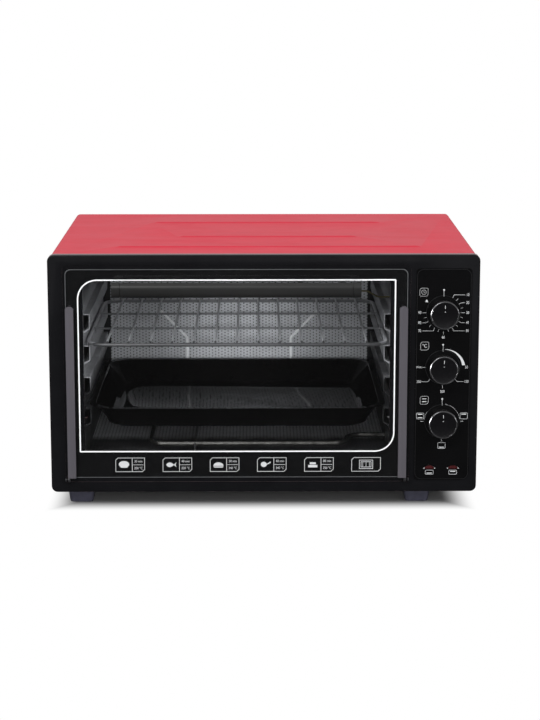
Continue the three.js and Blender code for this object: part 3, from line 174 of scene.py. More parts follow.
def makeGrain():
    tree, given, result = newGroup("fineGrain", {"Size": 0.001, "Stretch": (1, 1, 1)}, ["Height", "Shade"])
    spread = vectors(tree, "MULTIPLY", spotOn(tree), given["Stretch"])
    scale = calc(tree, "DIVIDE", 1.0, given["Size"])
    fine = noiseOn(tree, spread, scale, *effect["grainDetail"])
    broad = noiseOn(tree, spread, times(tree, scale, effect["shadeScale"]), effect["shadeDetail"])
    feed(tree, result, {"Height": fine, "Shade": rangeMap(tree, broad, *effect["shadeSpan"])})
    return tree


def makeSmudges():
    inputs = {"Clean": 0.1, "Smeared": 0.2, "Size": 0.08}
    tree, given, result = newGroup("wipedSmudges", inputs, ["Roughness"])
    wiped = vectors(tree, "MULTIPLY", spotOn(tree), effect["wipe"])
    blots = noiseOn(tree, wiped, calc(tree, "DIVIDE", 1.0, given["Size"]), *effect["smudgeDetail"])
    mask = rangeMap(tree, blots, *effect["smudgeSpan"])
    span = minus(tree, given["Smeared"], given["Clean"])
    feed(tree, result, {"Roughness": calc(tree, "MULTIPLY_ADD", mask, span, given["Clean"])})
    return tree


def makeEdgeWear():
    tree, given, result = newGroup("edgeWear", {"Reach": 0.0012, "Amount": 0.5}, ["Mask"])
    bevel = addNode(tree, "Bevel", {"Radius": given["Reach"]}, samples=effect["bevelSamples"])
    match = vectors(tree, "DOT_PRODUCT", bevel.outputs[0], normalOf(tree), "Value")
    edge = rangeMap(tree, match, *effect["edgeSpan"])
    patches = noiseOn(tree, spotOn(tree), effect["wearScale"], effect["wearDetail"])
    worn = times(tree, edge, rangeMap(tree, patches, *effect["wearSpan"]))
    feed(tree, result, {"Mask": times(tree, worn, given["Amount"])})
    return tree


def makeDust():
    tree, given, result = newGroup("settledDust", {"Amount": 0.1}, ["Mask"])
    facing = rangeMap(tree, partsOf(tree, normalOf(tree))[2], *effect["dustUp"])
    patches = noiseOn(tree, spotOn(tree), effect["dustScale"], effect["dustDetail"])
    drift = times(tree, facing, rangeMap(tree, patches, *effect["dustSpan"]))
    feed(tree, result, {"Mask": times(tree, drift, given["Amount"])})
    return tree


def makeDimples():
    # Round hollows in rows; every other row is shifted by half a pitch
    inputs = {"Across": 0.0, "Up": 0.0, "Pitch": 0.0094, "Rows": 0.0022, "Radius": 0.001}
    tree, given, result = newGroup("pressedDimples", inputs, ["Mask", "Height"])
    rise = calc(tree, "DIVIDE", given["Up"], given["Rows"])
    odd = calc(tree, "MODULO", calc(tree, "ABSOLUTE", calc(tree, "FLOOR", rise)), 2.0)
    across = calc(tree, "DIVIDE", given["Across"], given["Pitch"])
    column = calc(tree, "ADD", across, times(tree, odd, 0.5))
    square = []
    for count, step in ((column, given["Pitch"]), (rise, given["Rows"])):
        away = times(tree, minus(tree, calc(tree, "FRACT", count), 0.5), step)
        square.append(times(tree, away, away))
    share = calc(tree, "DIVIDE", calc(tree, "SQRT", calc(tree, "ADD", *square)), given["Radius"])
    mask = rangeMap(tree, share, *effect["dimpleSpan"], 1.0, 0.0, interpolation_type="SMOOTHSTEP")
    feed(tree, result, {"Mask": mask, "Height": minus(tree, 1.0, mask)})
    return tree


def makePaintedShade():
    # Painted shade: darkening below one mark and above another, with a ragged edge
    inputs = {"Along": 0.0, "Low": 0.0, "High": 1.0, "Fade": 0.02, "Amount": 0.8}
    tree, given, result = newGroup("paintedShadeBand", inputs, ["Mask"])
    blots = noiseOn(tree, spotOn(tree), effect["paintedShadeScale"], *effect["paintedShadeDetail"])
    ragged = times(tree, minus(tree, blots, 0.5), given["Fade"])
    along = calc(tree, "ADD", given["Along"], ragged)
    below = calc(tree, "DIVIDE", minus(tree, given["Low"], along), given["Fade"])
    above = calc(tree, "DIVIDE", minus(tree, along, given["High"]), given["Fade"])
    dark = addNode(tree, "Clamp", {0: calc(tree, "MAXIMUM", below, above)}).outputs[0]
    feed(tree, result, {"Mask": times(tree, dark, given["Amount"])})
    return tree


grain, smudges, edgeWear = makeGrain(), makeSmudges(), makeEdgeWear()
dust, dimples, soot = makeDust(), makeDimples(), makePaintedShade()
print("shader groups made")


# Materials, one for each slot of the record and a few for prints and trim

def newMaterial(name):
    material = bpy.data.materials.new(name)
    material.use_nodes = True
    tree = material.node_tree
    return material, tree, tree.nodes["Principled BSDF"].inputs


def feedShader(tree, shader, height, depth, values):
    bump = addNode(tree, "Bump", {"Height": height, "Strength": 1.0, "Distance": depth}).outputs[0]
    feed(tree, shader, {"Normal": bump, **values})


def showMixed(tree, amount, other):
    # Another shader takes the place of the principled one by an amount
    sockets = {0: amount, 1: tree.nodes["Principled BSDF"].outputs[0], 2: other}
    mixed = addNode(tree, "MixShader", sockets).outputs[0]
    feed(tree, tree.nodes["Material Output"].inputs, {"Surface": mixed})


rackLook = {"frontRail": 6 * mm, "facing": (0.1, 0.5)}
coverLook = {"inward": -0.02, "downward": -0.3}
sheenLook = {"blend": 0.5, "span": (0.66, 0.84)}


def addRackShade(tree, colour, look):
    # Painted shade: the rack is darker on faces towards the door, most of all on its front rail, where the
    # front light falls full
    spot = addNode(tree, "TexCoord").outputs
    facing = calc(tree, "ABSOLUTE", partsOf(tree, spot["Normal"])[1])
    colour = mixColour(tree, rangeMap(tree, facing, *rackLook["facing"]), colour, look["cross"])
    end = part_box("wire_rack")[0].y + rackLook["frontRail"]
    rail = calc(tree, "LESS_THAN", partsOf(tree, spot["Object"])[1], end)
    return mixColour(tree, rail, colour, look["rail"])


def addInnerShade(tree, colour, look):
    # Painted shade: faces of the cover that look inwards or down are dark
    low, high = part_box("outer_cover")
    spot = addNode(tree, "TexCoord").outputs
    facing = partsOf(tree, spot["Normal"])
    across = minus(tree, partsOf(tree, spot["Object"])[0], (low.x + high.x) / 2)
    inward = calc(tree, "LESS_THAN", times(tree, across, facing[0]), coverLook["inward"])
    inside = calc(tree, "MAXIMUM", inward, calc(tree, "LESS_THAN", facing[2], coverLook["downward"]))
    return mixColour(tree, inside, colour, look["innerShade"])


def addSheen(tree, colour, look):
    # Painted sheen: the colour turns paler where the surface is seen at a grazing angle
    facing = addNode(tree, "LayerWeight", {"Blend": sheenLook["blend"]}).outputs["Facing"]
    return mixColour(tree, rangeMap(tree, facing, *sheenLook["span"]), colour, look["sheen"])


plainFinish = dict(  # what a finish has unless it says otherwise
    shade=0.8,  # the darker tone of the uneven colour
    grain=1.0, smear=80, edge=1.2,  # of the grain, the smudges and the rubbed edges, in mm
    depth=50,  # of the grain, in thousandths of a mm
    paler=(1.6, 0.02),  # turns the colour into that of worn edges
    stretch=(1, 1, 1), wear=0.35, dust=0.03, dustColour=(0.35, 0.34, 0.33),
    metal=0.0, specular=0.5, coat=0.0, coatRough=0.05,
)


def finishOf(name, own):
    # Uneven colour, smeared gloss, fine grain and rubbed edges, with painted shade or a painted sheen on
    # some finishes
    look = {**plainFinish, **own}
    material, tree, shader = newMaterial(name)
    base, (gain, lift) = look["colour"], look["paler"]
    worn = look.get("worn", [min(1.0, value * gain + lift) for value in base])
    texture = place(tree, grain, Size=look["grain"] * mm, Stretch=look["stretch"])
    smear = place(tree, smudges, Clean=look["rough"][0], Smeared=look["rough"][1], Size=look["smear"] * mm)
    edge = place(tree, edgeWear, Reach=look["edge"] * mm, Amount=look["wear"])
    film = place(tree, dust, Amount=look["dust"])
    colour = mixColour(tree, texture["Shade"], [value * look["shade"] for value in base], base)
    colour = mixColour(tree, edge["Mask"], colour, worn)
    colour = mixColour(tree, film["Mask"], colour, look["dustColour"])
    for key, change in (("rail", addRackShade), ("innerShade", addInnerShade), ("sheen", addSheen)):
        if key in look:
            colour = change(tree, colour, look)
    feedShader(tree, shader, texture["Height"], look["depth"] * 0.001 * mm, {
        "Base Color": colour, "Roughness": smear["Roughness"], "Specular IOR Level": look["specular"],
        "Metallic": look["metal"], "Coat Weight": look["coat"], "Coat Roughness": look["coatRough"],
    })
    return material


printed = dict(rough=(0.4, 0.5), grain=0.4, depth=10, wear=0.0, dust=0.0)
finishes = {  # rough: where it is clean and where it is smeared
    "black_enamel": dict(colour=(0.0072, 0.0073, 0.0083), rough=(0.13, 0.19), depth=8, grain=3.0,
        wear=0.12, specular=0.12, sheen=(0.26, 0.18, 0.19)),
    "panel_gloss": dict(colour=(0.0036, 0.0036, 0.0039), rough=(0.1, 0.15), depth=5, grain=3.0, wear=0.1,
        specular=0.25),
    # the red paint's dark colour for inward and downward faces is painted shade
    "red_paint": dict(colour=(0.54, 0.0108, 0.035), rough=(0.32, 0.4), depth=6, grain=1.6, wear=0.2,
        shade=0.94, worn=(0.62, 0.1, 0.1), specular=0.22, innerShade=(0.03, 0.03, 0.031)),
    "zinc_steel": dict(colour=(0.46, 0.46, 0.47), rough=(0.38, 0.5), metal=1.0, grain=1.2, shade=0.78,
        depth=30),
    "dark_steel": dict(colour=(0.09, 0.09, 0.095), rough=(0.4, 0.5), metal=0.8, grain=1.2, depth=20),
    "tray_enamel": dict(colour=(0.0032, 0.003, 0.003), rough=(0.035, 0.06), depth=3, grain=5.0, wear=0.12,
        specular=0.1, dust=0.002),
    # the chrome wire's two darker colours are painted shade on its faces towards the door and on its front
    # rail
    "chrome_wire": dict(colour=(0.8, 0.8, 0.82), rough=(0.3, 0.38), metal=0.1, grain=2.0, shade=0.9,
        depth=10, wear=0.0, cross=(0.2, 0.2, 0.205), rail=(0.08, 0.08, 0.082)),
    "heater_sheath": dict(colour=(0.36, 0.35, 0.33), rough=(0.16, 0.24), metal=0.92, grain=0.9,
        shade=0.45, depth=60),
    "trim_grey": dict(colour=(0.12, 0.113, 0.129), rough=(0.33, 0.42), metal=0.35, grain=0.7,
        stretch=(1, 1, 0.04), depth=30, shade=0.88),
    "handle_grey": dict(colour=(0.016, 0.016, 0.016), rough=(0.36, 0.46), metal=0.25, grain=0.7,
        stretch=(0.03, 1, 1), depth=30, shade=0.85),
    "knob_black": dict(colour=(0.0048, 0.0046, 0.0054), rough=(0.22, 0.3), grain=0.5, depth=10, wear=0.25,
        specular=0.35),
    "knob_rim": dict(colour=(0.14, 0.14, 0.145), rough=(0.2, 0.24), metal=0.85, grain=0.8, depth=4,
        shade=0.9, wear=0.0, dust=0.0),
    "foot_plastic": dict(colour=(0.057, 0.057, 0.082), rough=(0.5, 0.62), grain=0.6, depth=80, wear=0.3),
    "ceramic": dict(colour=(0.74, 0.7, 0.62), rough=(0.5, 0.65), grain=0.5, depth=40, shade=0.9),
    "bulb_metal": dict(colour=(0.3, 0.26, 0.12), rough=(0.3, 0.45), metal=0.9, grain=0.8, shade=0.7),
    "gland_plastic": dict(colour=(0.012, 0.012, 0.013), rough=(0.45, 0.55), grain=0.5, depth=60),
    "lamp_red": dict(colour=(0.05, 0.008, 0.009), rough=(0.18, 0.25), depth=10, coat=0.4),
    "print_white": dict(printed, colour=(0.58, 0.59, 0.6), shade=0.93),
    "line_white": dict(printed, colour=(0.86, 0.87, 0.88), shade=0.96),
    "faint_grey": dict(printed, colour=(0.014, 0.014, 0.015), rough=(0.3, 0.36), depth=5, specular=0.25),
    "frit_black": dict(printed, colour=(0.006, 0.006, 0.0063), rough=(0.3, 0.36), grain=1.0,
        specular=0.1),
    # grey painted near the pane's edge is a painted highlight
    "rim_highlight": dict(printed, colour=(0.1, 0.105, 0.11), grain=0.6),
}
materials = {name: finishOf(name, look) for name, look in finishes.items()}


linerLook = dict(
    inMm(
        sootFade=24, pitch=9.4, rows=2.22, dotRadius=1.08, dotDepth=0.35, grain=1.6, smear=50,
        beadRise=0.35,
        sheet=1.0,  # thickness of the back
        seam=11.8,  # painted shade strip at the sides of the back, 9 of it behind the side sheets
    ),
    steel=(0.8, 0.8, 0.82), stain=(0.6, 0.6, 0.615), stainShare=0.45,
    # near black painted into the dimples and onto the back's outside: painted shade
    hollowShade=(0.012, 0.012, 0.013), hollowShadeShare=0.95,
    # white on the raised beads is a painted highlight
    soot=(0.03, 0.03, 0.031), beadHighlight=(1.0, 1.0, 1.0),
    grainShare=0.12,  # of a dimple's depth
    metal=0.35, specular=0.15, rough=(0.34, 0.46), outward=0.3,
)
liners = {  # rows: the axes of the dimples; from and to in mm on the axis "along": the zone free of painted shade
    "cavity_back": dict(rows=(0, 2), along=2, unshaded=(128, 290), soot=0.6),
    "cavity_side_left": dict(rows=(1, 2), along=2, unshaded=(172, 258), soot=0.95),
    # the right side's steel is painted darker than the rest, as painted shade
    "cavity_side_right": dict(rows=(1, 2), along=2, unshaded=(186, 258), soot=0.96, shade=0.6),
    "cavity_floor": dict(rows=(0, 1), along=1, unshaded=(-26, 400), soot=0.95),
    "cavity_roof": dict(rows=(0, 1), along=2, unshaded=(290, 400), soot=0.9),
}


def dressBack(tree, axes, normal, colour, height):
    # Painted shade at the sides, a painted highlight on the beads, and a painted dark outside that shows as
    # shade through the rear panel's slots
    look = linerLook
    low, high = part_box("cavity_back")
    aside = calc(tree, "ABSOLUTE", minus(tree, axes[0], (low.x + high.x) / 2))
    seam = calc(tree, "GREATER_THAN", aside, (high.x - low.x) / 2 - look["seam"])
    rise = minus(tree, high.y - look["sheet"], axes[1])
    proud = rangeMap(tree, rise, look["beadRise"] * 0.5, look["beadRise"])
    outside = calc(tree, "GREATER_THAN", partsOf(tree, normal)[1], look["outward"])
    for amount, key in ((seam, "soot"), (proud, "beadHighlight"), (outside, "hollowShade")):
        colour = mixColour(tree, amount, colour, look[key])
    metal = calc(tree, "MULTIPLY_ADD", proud, -look["metal"], look["metal"])
    return colour, calc(tree, "MAXIMUM", height, proud), metal


def linerOf(node):
    # Embossed cavity steel, darkened by painted shade outside its evenly lit zone
    liner, look = liners[node], linerLook
    shade, (low, high) = liner.get("shade", 1.0), liner["unshaded"]
    steel, stain = [[shade * value for value in look[key]] for key in ("steel", "stain")]
    material, tree, shader = newMaterial("liner_" + node)
    spot = addNode(tree, "TexCoord").outputs
    axes = partsOf(tree, spot["Object"])
    across, up = [axes[axis] for axis in liner["rows"]]
    dots = place(tree, dimples, Across=across, Up=up, Pitch=look["pitch"], Rows=look["rows"],
                 Radius=look["dotRadius"])
    dark = place(tree, soot, Along=axes[liner["along"]], Low=low * mm, High=high * mm,
                 Fade=look["sootFade"], Amount=liner["soot"])
    texture = place(tree, grain, Size=look["grain"])
    smear = place(tree, smudges, Clean=look["rough"][0], Smeared=look["rough"][1], Size=look["smear"])
    colour = mixColour(tree, times(tree, texture["Shade"], look["stainShare"]), steel, stain)
    # The dimples' hollows are painted near black: painted shade in the recesses
    hollowShade = times(tree, dots["Mask"], look["hollowShadeShare"])
    colour = mixColour(tree, hollowShade, colour, look["hollowShade"])
    height = calc(tree, "MULTIPLY_ADD", texture["Height"], look["grainShare"], dots["Height"])
    metal = look["metal"]
    if node == "cavity_back":
        colour, height, metal = dressBack(tree, axes, spot["Normal"], colour, height)
    feedShader(tree, shader, height, look["dotDepth"], {
        "Base Color": mixColour(tree, dark["Mask"], colour, look["soot"]), "Roughness": smear["Roughness"],
        "Metallic": metal, "Specular IOR Level": look["specular"],
    })
    return material


for node in liners:
    materials[node] = linerOf(node)


glassLook = {"tint": (0.93, 0.94, 0.95), "rough": 0.0, "ior": 1.5, "shadowTint": (0.93, 0.94, 0.95)}


def glassOf():
    # Door glass: light for the shadows passes straight through
    material, tree, shader = newMaterial("door_glass")
    feed(tree, shader, {
        "Base Color": opaque(glassLook["tint"]), "Roughness": glassLook["rough"], "Metallic": 0.0,
        "Transmission Weight": 1.0, "IOR": glassLook["ior"],
    })
    clear = addNode(tree, "BsdfTransparent", {"Color": opaque(glassLook["shadowTint"])}).outputs[0]
    showMixed(tree, addNode(tree, "LightPath").outputs["Is Shadow Ray"], clear)
    return material


materials["door_glass"] = glassOf()
print("materials made:", len(materials))


# The CAD nodes keep their shape: eased edges and smooth shading on round sides

slotOf = {part["node"]: part["material_slot"] for part in frame["record"]["subparts"]}
ownLook = {name: name for name in liners}  # the other nodes take the finish of their slot
ownLook.update({name: "dark_steel" for name in slotOf if name.startswith("hinge_")})
dressing = {
    "weld": 0.005 * mm,
    "flatAngle": 1.0, "easeAngle": 40.0, "ease": 0.25 * mm,
    "easeOf": inMm(outer_cover=0.4, door_glass=0.6, handle_bar=0.6, baking_tray=0.4, front_frame=0.4),
    "round": ("heater", "rack", "spring", "bulb", "pin", "shaft"),  # words in names of round nodes
}


def makeAngleShade():
    # Smooth shading that stops at edges sharper than the angle given
    tree = bpy.data.node_groups.new("shadeByAngle", "GeometryNodeTree")
    tree.interface.new_socket("Geometry", in_out="INPUT", socket_type="NodeSocketGeometry")
    tree.interface.new_socket("Angle", in_out="INPUT", socket_type="NodeSocketFloat").default_value = 0.6
    tree.interface.new_socket("Geometry", in_out="OUTPUT", socket_type="NodeSocketGeometry")
    given, result = tree.nodes.new("NodeGroupInput").outputs, tree.nodes.new("NodeGroupOutput").inputs
    steep = tree.nodes.new("FunctionNodeCompare")
    angle = tree.nodes.new("GeometryNodeInputMeshEdgeAngle").outputs[0]
    feed(tree, steep.inputs, {0: angle, 1: given["Angle"]})
    shade = setAll(tree.nodes.new("GeometryNodeSetShadeSmooth"), domain="EDGE")
    sockets = {"Geometry": given["Geometry"], "Selection": steep.outputs[0], "Shade Smooth": False}
    feed(tree, shade.inputs, sockets)
    feed(tree, result, {"Geometry": shade.outputs[0]})
    return tree


angleShade = makeAngleShade()


def dressNode(name, node):
    mesh = node.data
    mesh.materials.clear()
    mesh.materials.append(materials[ownLook.get(name, slotOf[name])])
    stored = mesh.attributes.get("custom_normal")
    if stored:
        mesh.attributes.remove(stored)
    mesh.shade_smooth()
    node.modifiers.new("weld", "WELD").merge_threshold = dressing["weld"]
    if not any(word in name for word in dressing["round"]):
        setAll(node.modifiers.new("flat", "DECIMATE"), decimate_type="DISSOLVE",
               angle_limit=math.radians(dressing["flatAngle"]))
        setAll(node.modifiers.new("ease", "BEVEL"), width=dressing["easeOf"].get(name, dressing["ease"]),
               segments=2, limit_method="ANGLE", angle_limit=math.radians(dressing["easeAngle"]),
               harden_normals=True)
    node.modifiers.new("shade", "NODES").node_group = angleShade


for name, node in frame["nodes"].items():
    dressNode(name, node)
print("frame nodes dressed:", len(slotOf))


# Mesh makers

meshRules = {"weld": 0.0005 * mm, "mitre": 0.35}  # mitre: the least share at a sharp corner


def addObject(name, data):
    made = bpy.data.objects.new(name, data)
    scene.collection.objects.link(made)
    return made


def finishPiece(name, work, finish, body, sharp=35.0, instead=()):
    # A bmesh becomes a named piece that rides on its body
    bmesh.ops.remove_doubles(work, verts=work.verts, dist=meshRules["weld"])
    bmesh.ops.recalc_face_normals(work, faces=work.faces)
    mesh = bpy.data.meshes.new(name)
    work.to_mesh(mesh)
    work.free()
    mesh.shade_smooth()
    mesh.set_sharp_from_angle(angle=math.radians(sharp))
    piece = addObject(name, mesh)
    piece.data.materials.append(materials[finish])
    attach(piece, body)
    if instead:
        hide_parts(*instead)


def joinRows(work, first, second):
    # A band of faces between two closed rows of points
    count = len(first)
    for index in range(count):
        after = (index + 1) % count
        work.faces.new((first[index], first[after], second[after], second[index]))


def addPlate(work, outline, front, thick):
    # A flat shape in the x-z plane, its face towards -y
    near = [work.verts.new((x, front, z)) for x, z in outline]
    far = [work.verts.new((x, front + thick, z)) for x, z in outline]
    work.faces.new(near)
    work.faces.new(far[::-1])
    joinRows(work, near, far)


def addRing(work, outer, inner, front, thick):
    # A flat band between two outlines that have as many points
    rows = []
    for outline, depth in ((outer, front), (inner, front), (inner, front + thick), (outer, front + thick)):
        rows.append([work.verts.new((x, depth, z)) for x, z in outline])
    for first, second in zip(rows, rows[1:] + rows[:1]):
        joinRows(work, first, second)


def addLine(work, points, width, front, thick, closed=False):
    # A stroke of one width with mitred corners
    corners = [Vector(point) for point in points]
    last = len(corners) - 1
    left, right = [], []
    for index, here in enumerate(corners):
        arrive = (here - corners[index - 1]).normalized()
        leave = (corners[index + 1 if index < last else 0] - here).normalized()
        if not closed and index == 0:
            arrive = leave
        if not closed and index == last:
            leave = arrive
        normal = Vector((-(arrive + leave).y, (arrive + leave).x)).normalized()
        reach = width / 2 / max(meshRules["mitre"], normal.dot(Vector((-arrive.y, arrive.x))))
        left.append(here + normal * reach)
        right.append(here - normal * reach)
    if closed:
        addRing(work, left, right, front, thick)
    else:
        addPlate(work, left + right[::-1], front, thick)


def arcPoints(centre, radius, start, end, steps):
    # Clock angles in degrees: 0 is up and 90 is to the right
    turns = [math.radians(start + (end - start) * i / steps) for i in range(steps + 1)]
    return [(centre[0] + radius * math.sin(turn), centre[1] + radius * math.cos(turn)) for turn in turns]


def roundedOutline(left, right, low, high, radii, steps):
    # Radii in the order low left, low right, high right, high left
    corners = ((left, low, 1, 1, 180), (right, low, -1, 1, 90),
               (right, high, -1, -1, 0), (left, high, 1, -1, 270))
    points = []
    for (x, z, inX, inZ, start), radius in zip(corners, radii):
        points.extend(arcPoints((x + inX * radius, z + inZ * radius), radius, start + 90, start, steps))
    return points


def sidesOf(x, z, wide, tall):
    return x - wide / 2, x + wide / 2, z - tall / 2, z + tall / 2


def boxOutline(low, high, inset, radii, steps):
    return roundedOutline(low.x + inset, high.x - inset, low.z + inset, high.z - inset, radii, steps)


def addText(work, words, size, x, z, front, thick, slim):
    curve = bpy.data.curves.new("lettering", "FONT")
    setAll(curve, body=words, size=size, extrude=thick / 2, align_x="CENTER", align_y="CENTER")
    carrier = addObject("lettering", curve)
    bpy.context.view_layer.update()
    mesh = bpy.data.meshes.new_from_object(carrier.evaluated_get(bpy.context.evaluated_depsgraph_get()))
    turn = Matrix.Translation((x, front + thick / 2, z)) @ Matrix.Rotation(math.radians(90), 4, "X")
    mesh.transform(turn @ Matrix.Diagonal((slim, 1, 1, 1)))
    work.from_mesh(mesh)
    bpy.data.objects.remove(carrier)
    bpy.data.curves.remove(curve)
    bpy.data.meshes.remove(mesh)


def addTurned(work, profile, centre, steps=96):
    # Turns a (radius, height) profile in mm round a line along -y
    rows = []
    for i in range(steps):
        turn = 2 * math.pi * i / steps
        rows.append([work.verts.new((centre[0] + r * mm * math.sin(turn), centre[1] - height * mm,
                                     centre[2] + r * mm * math.cos(turn))) for r, height in profile])
    for i in range(steps):
        first, second = rows[i], rows[(i + 1) % steps]
        for j in range(len(profile) - 1):
            work.faces.new((first[j], first[j + 1], second[j + 1], second[j]))


# Door prints: the black border behind the glass, the white line and the cooking hints on it

glassLow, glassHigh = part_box("door_glass")
doorPrint = inMm(
    thick=0.05, borderThick=0.08, lift=0.012,  # lift: off the glass
    borderInset=0.7, rimInset=0.2, rimWidth=0.8, lineWidth=1.75,
    windowSide=16.4, windowTop=14.4, windowFoot=35.4, windowRound=25, windowSharp=0.6, leastRound=0.1,
    glassRadii=(1.5, 1.5, 7, 7),
)
cornerSteps = 12
glassFace = (glassLow.y - doorPrint["lift"] - doorPrint["thick"], doorPrint["thick"])


def windowOutline(grow):
    look = doorPrint
    big, small = look["windowRound"] + grow, max(look["windowSharp"] + grow, look["leastRound"])
    return roundedOutline(
        glassLow.x + look["windowSide"] - grow, glassHigh.x - look["windowSide"] + grow,
        glassLow.z + look["windowFoot"] - grow, glassHigh.z - look["windowTop"] + grow,
        (small, big, small, big), cornerSteps,
    )


def paneOutline(inset):
    return boxOutline(glassLow, glassHigh, inset, doorPrint["glassRadii"], cornerSteps)


def makeDoorBand(name, outer, inner, face, finish, slot):
    work = bmesh.new()
    addRing(work, outer, inner, *face)
    finishPiece(name, work, finish, "door")


def makeDoorBands():
    # The black border, a painted highlight along the pane's rim and the white line round the window
    look, half, rim = doorPrint, doorPrint["lineWidth"] / 2, doorPrint["rimInset"]
    behind = (glassHigh.y + look["lift"], look["borderThick"])
    edge, window = paneOutline(look["borderInset"]), windowOutline(-half)
    makeDoorBand("glass_border", edge, window, behind, "frit_black", "black_enamel")
    edges = paneOutline(rim), paneOutline(rim + look["rimWidth"])
    makeDoorBand("glass_rim_highlight", *edges, glassFace, "rim_highlight", "door_glass")
    makeDoorBand("glass_line", windowOutline(half), window, glassFace, "line_white", "print_white")


hintBox = dict(
    inMm(
        first=62.4,  # from the glass's left edge to the first box
        pitch=61.95, width=37.8, height=18.6, rise=8.1, cut=3.0, stroke=0.68, divider=21.6,
        gaps=(0.6, 1.4),  # at both ends of the stroke between the words
        textSize=4.48,
        tray=(17.5, 11.5, 2.2),  # width, height and rim of the sixth sign
    ),
    thin=0.8,  # share of the stroke between the words
    trayBars=0.7,
    signShare=0.61,  # of the space beside the words
    textRise=0.25,  # of the height, above and below the middle
    slim=0.86,
    times=("30", "40", "50", "60", "80"),
    heats=("200", "220", "240", "240", "250"),
)


def ovalPoints(x, z, wide, tall, start, end, step):
    turns = [math.radians(angle) for angle in range(start, end, step)]
    return [(x + wide * math.cos(turn), z + tall * math.sin(turn)) for turn in turns]


def boxPoints(left, right, low, high):
    return [(left, low), (right, low), (right, high), (left, high)]


def foodShapes():
    # Loaf, fish, pie, leg and cake, each about one unit wide
    loaf = [ovalPoints(0.0, 0.05, 0.52, 0.34, -15, 196, 15) + [(-0.3, -0.3), (0.3, -0.3)]]
    back = [(-0.5 + 0.08 * i, 0.24 * math.sin(math.pi * (i / 10) ** 0.8)) for i in range(11)]
    fish = [back + [(x, -z) for x, z in reversed(back[1:-1])],
            [(0.24, 0.0), (0.52, 0.26), (0.44, 0.0), (0.52, -0.26)]]
    pie = [[(-0.5, -0.18), (0.5, -0.18), (0.42, -0.3), (-0.42, -0.3)],
           ovalPoints(0.0, -0.12, 0.5, 0.36, 0, 181, 15)]
    leg = [ovalPoints(-0.18, 0.02, 0.3, 0.27, 0, 360, 24),
           [(0.08, 0.02), (0.14, 0.1), (0.4, 0.24), (0.44, 0.32), (0.52, 0.26), (0.48, 0.16), (0.16, 0.0)]]
    cake = [boxPoints(-0.46, 0.46, -0.3, -0.04), boxPoints(-0.3, 0.3, 0.02, 0.22)]
    return loaf, fish, pie, leg, cake


def addTray(work, x, z):
    # The plain sixth sign: a tray seen from above
    wide, tall, rim = hintBox["tray"]
    left, right, low, high = sidesOf(x, z, wide, tall)
    for inset in (0.0, rim):
        outline = boxPoints(left + inset, right - inset, low + inset, high - inset)
        addLine(work, outline, hintBox["stroke"], *glassFace, closed=True)
    for i in range(3):
        across = left + wide * (i + 1) / 4
        bar = [(across, low + rim), (across, high - rim)]
        addLine(work, bar, hintBox["stroke"] * hintBox["trayBars"], *glassFace)


def makeDoorHints():
    look = hintBox
    signs = foodShapes()
    work = bmesh.new()
    for index in range(len(signs) + 1):
        left, low = glassLow.x + look["first"] + index * look["pitch"], glassLow.z + look["rise"]
        right, high, cut = left + look["width"], low + look["height"], look["cut"]
        outline = [(left, low), (right - cut, low), (right, low + cut),
                   (right, high), (left + cut, high), (left, high - cut)]
        addLine(work, outline, look["stroke"], *glassFace, closed=True)
        middle = (low + high) / 2
        if index == len(signs):
            addTray(work, (left + right) / 2, middle)
            continue
        bar = left + look["divider"]
        addLine(work, [(bar, low), (bar, high)], look["stroke"], *glassFace)
        level = [(bar + look["gaps"][0], middle), (right - look["gaps"][1], middle)]
        addLine(work, level, look["stroke"] * look["thin"], *glassFace)
        for words, side in ((look["times"][index] + " min", 1), (look["heats"][index] + " °C", -1)):
            height = middle + side * look["height"] * look["textRise"]
            addText(work, words, look["textSize"], (bar + right) / 2, height, *glassFace, look["slim"])
        centre, size = (left + bar) / 2, look["divider"] * look["signShare"]
        for shape in signs[index]:
            addPlate(work, [(centre + x * size, middle + z * size) for x, z in shape], *glassFace)
    finishPiece("glass_hints", work, "print_white", "door")


makeDoorBands()
makeDoorHints()
print("door prints made")


# Panel prints: scales, numbers and signs round the three knobs. Marks are (angle, height, words, side)

panelLow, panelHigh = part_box("control_panel")
knobBoxes = {name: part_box(name + "_knob") for name in ("timer", "thermostat", "selector")}
knobCentre = {name: (low + high) / 2 for name, (low, high) in knobBoxes.items()}
panelPrint = dict(
    inMm(
        thick=0.05, lift=0.012,  # lift: off the panel
        stroke=0.42, thin=0.32, numberSize=5.2,
        tickNear=22.4, tickFar=26.6, shortTick=26.0, zeroNear=21.4, zeroFar=29.4, lowNear=24.4, lowFar=28.4,
        zeroDot=(30.0, 1.15),  # height and radius
        lowLabel=32.6, labelAcross=31.0, labelGap=3.6, ring=22.5, ringWidth=0.5,
        rim=(1.2, 8),  # inset and corner of the line along the panel's rim
    ),
    wordShare=0.8,  # of the numbers' size
    slim=0.76,
)
timerMarks = dict(
    ticks=range(45, 256, 30),
    numbers=((30, 23.6, "10", 1), (60, 13.2, "20", 1), (90, 0.0, "30", 1), (120, -13.2, "40", 1),
             (150, -24.0, "50", 1), (210, -24.0, "70", -1), (240, -13.2, "80", -1), (270, 0.0, "90", -1)),
    low="60",
)
thermostatMarks = dict(
    crescent=(6, 84, 24),  # first and last angle, steps
    inner=(23.9, 25.5),  # radius in mm at both ends
    outer=(24.2, 29.2),
    first="50",
    low="200",
    numbers=((134, -19.2, "150", 1), (226, -19.2, "250", -1), (270, 0.0, "MAX", -1)),
)
selectorMarks = dict(
    arcRadius=23.4 * mm,
    arcStroke=0.6,  # of the thin stroke
    arcs=((10, 82, 18), (276, 304, 8)),
    signs=((28.6, 7.2, True, False), (0.0, -32.8, False, True), (-28.6, 7.2, True, True)),
    low=(-24.6, -27.4),
    sides=(24.2, 28.2),
)
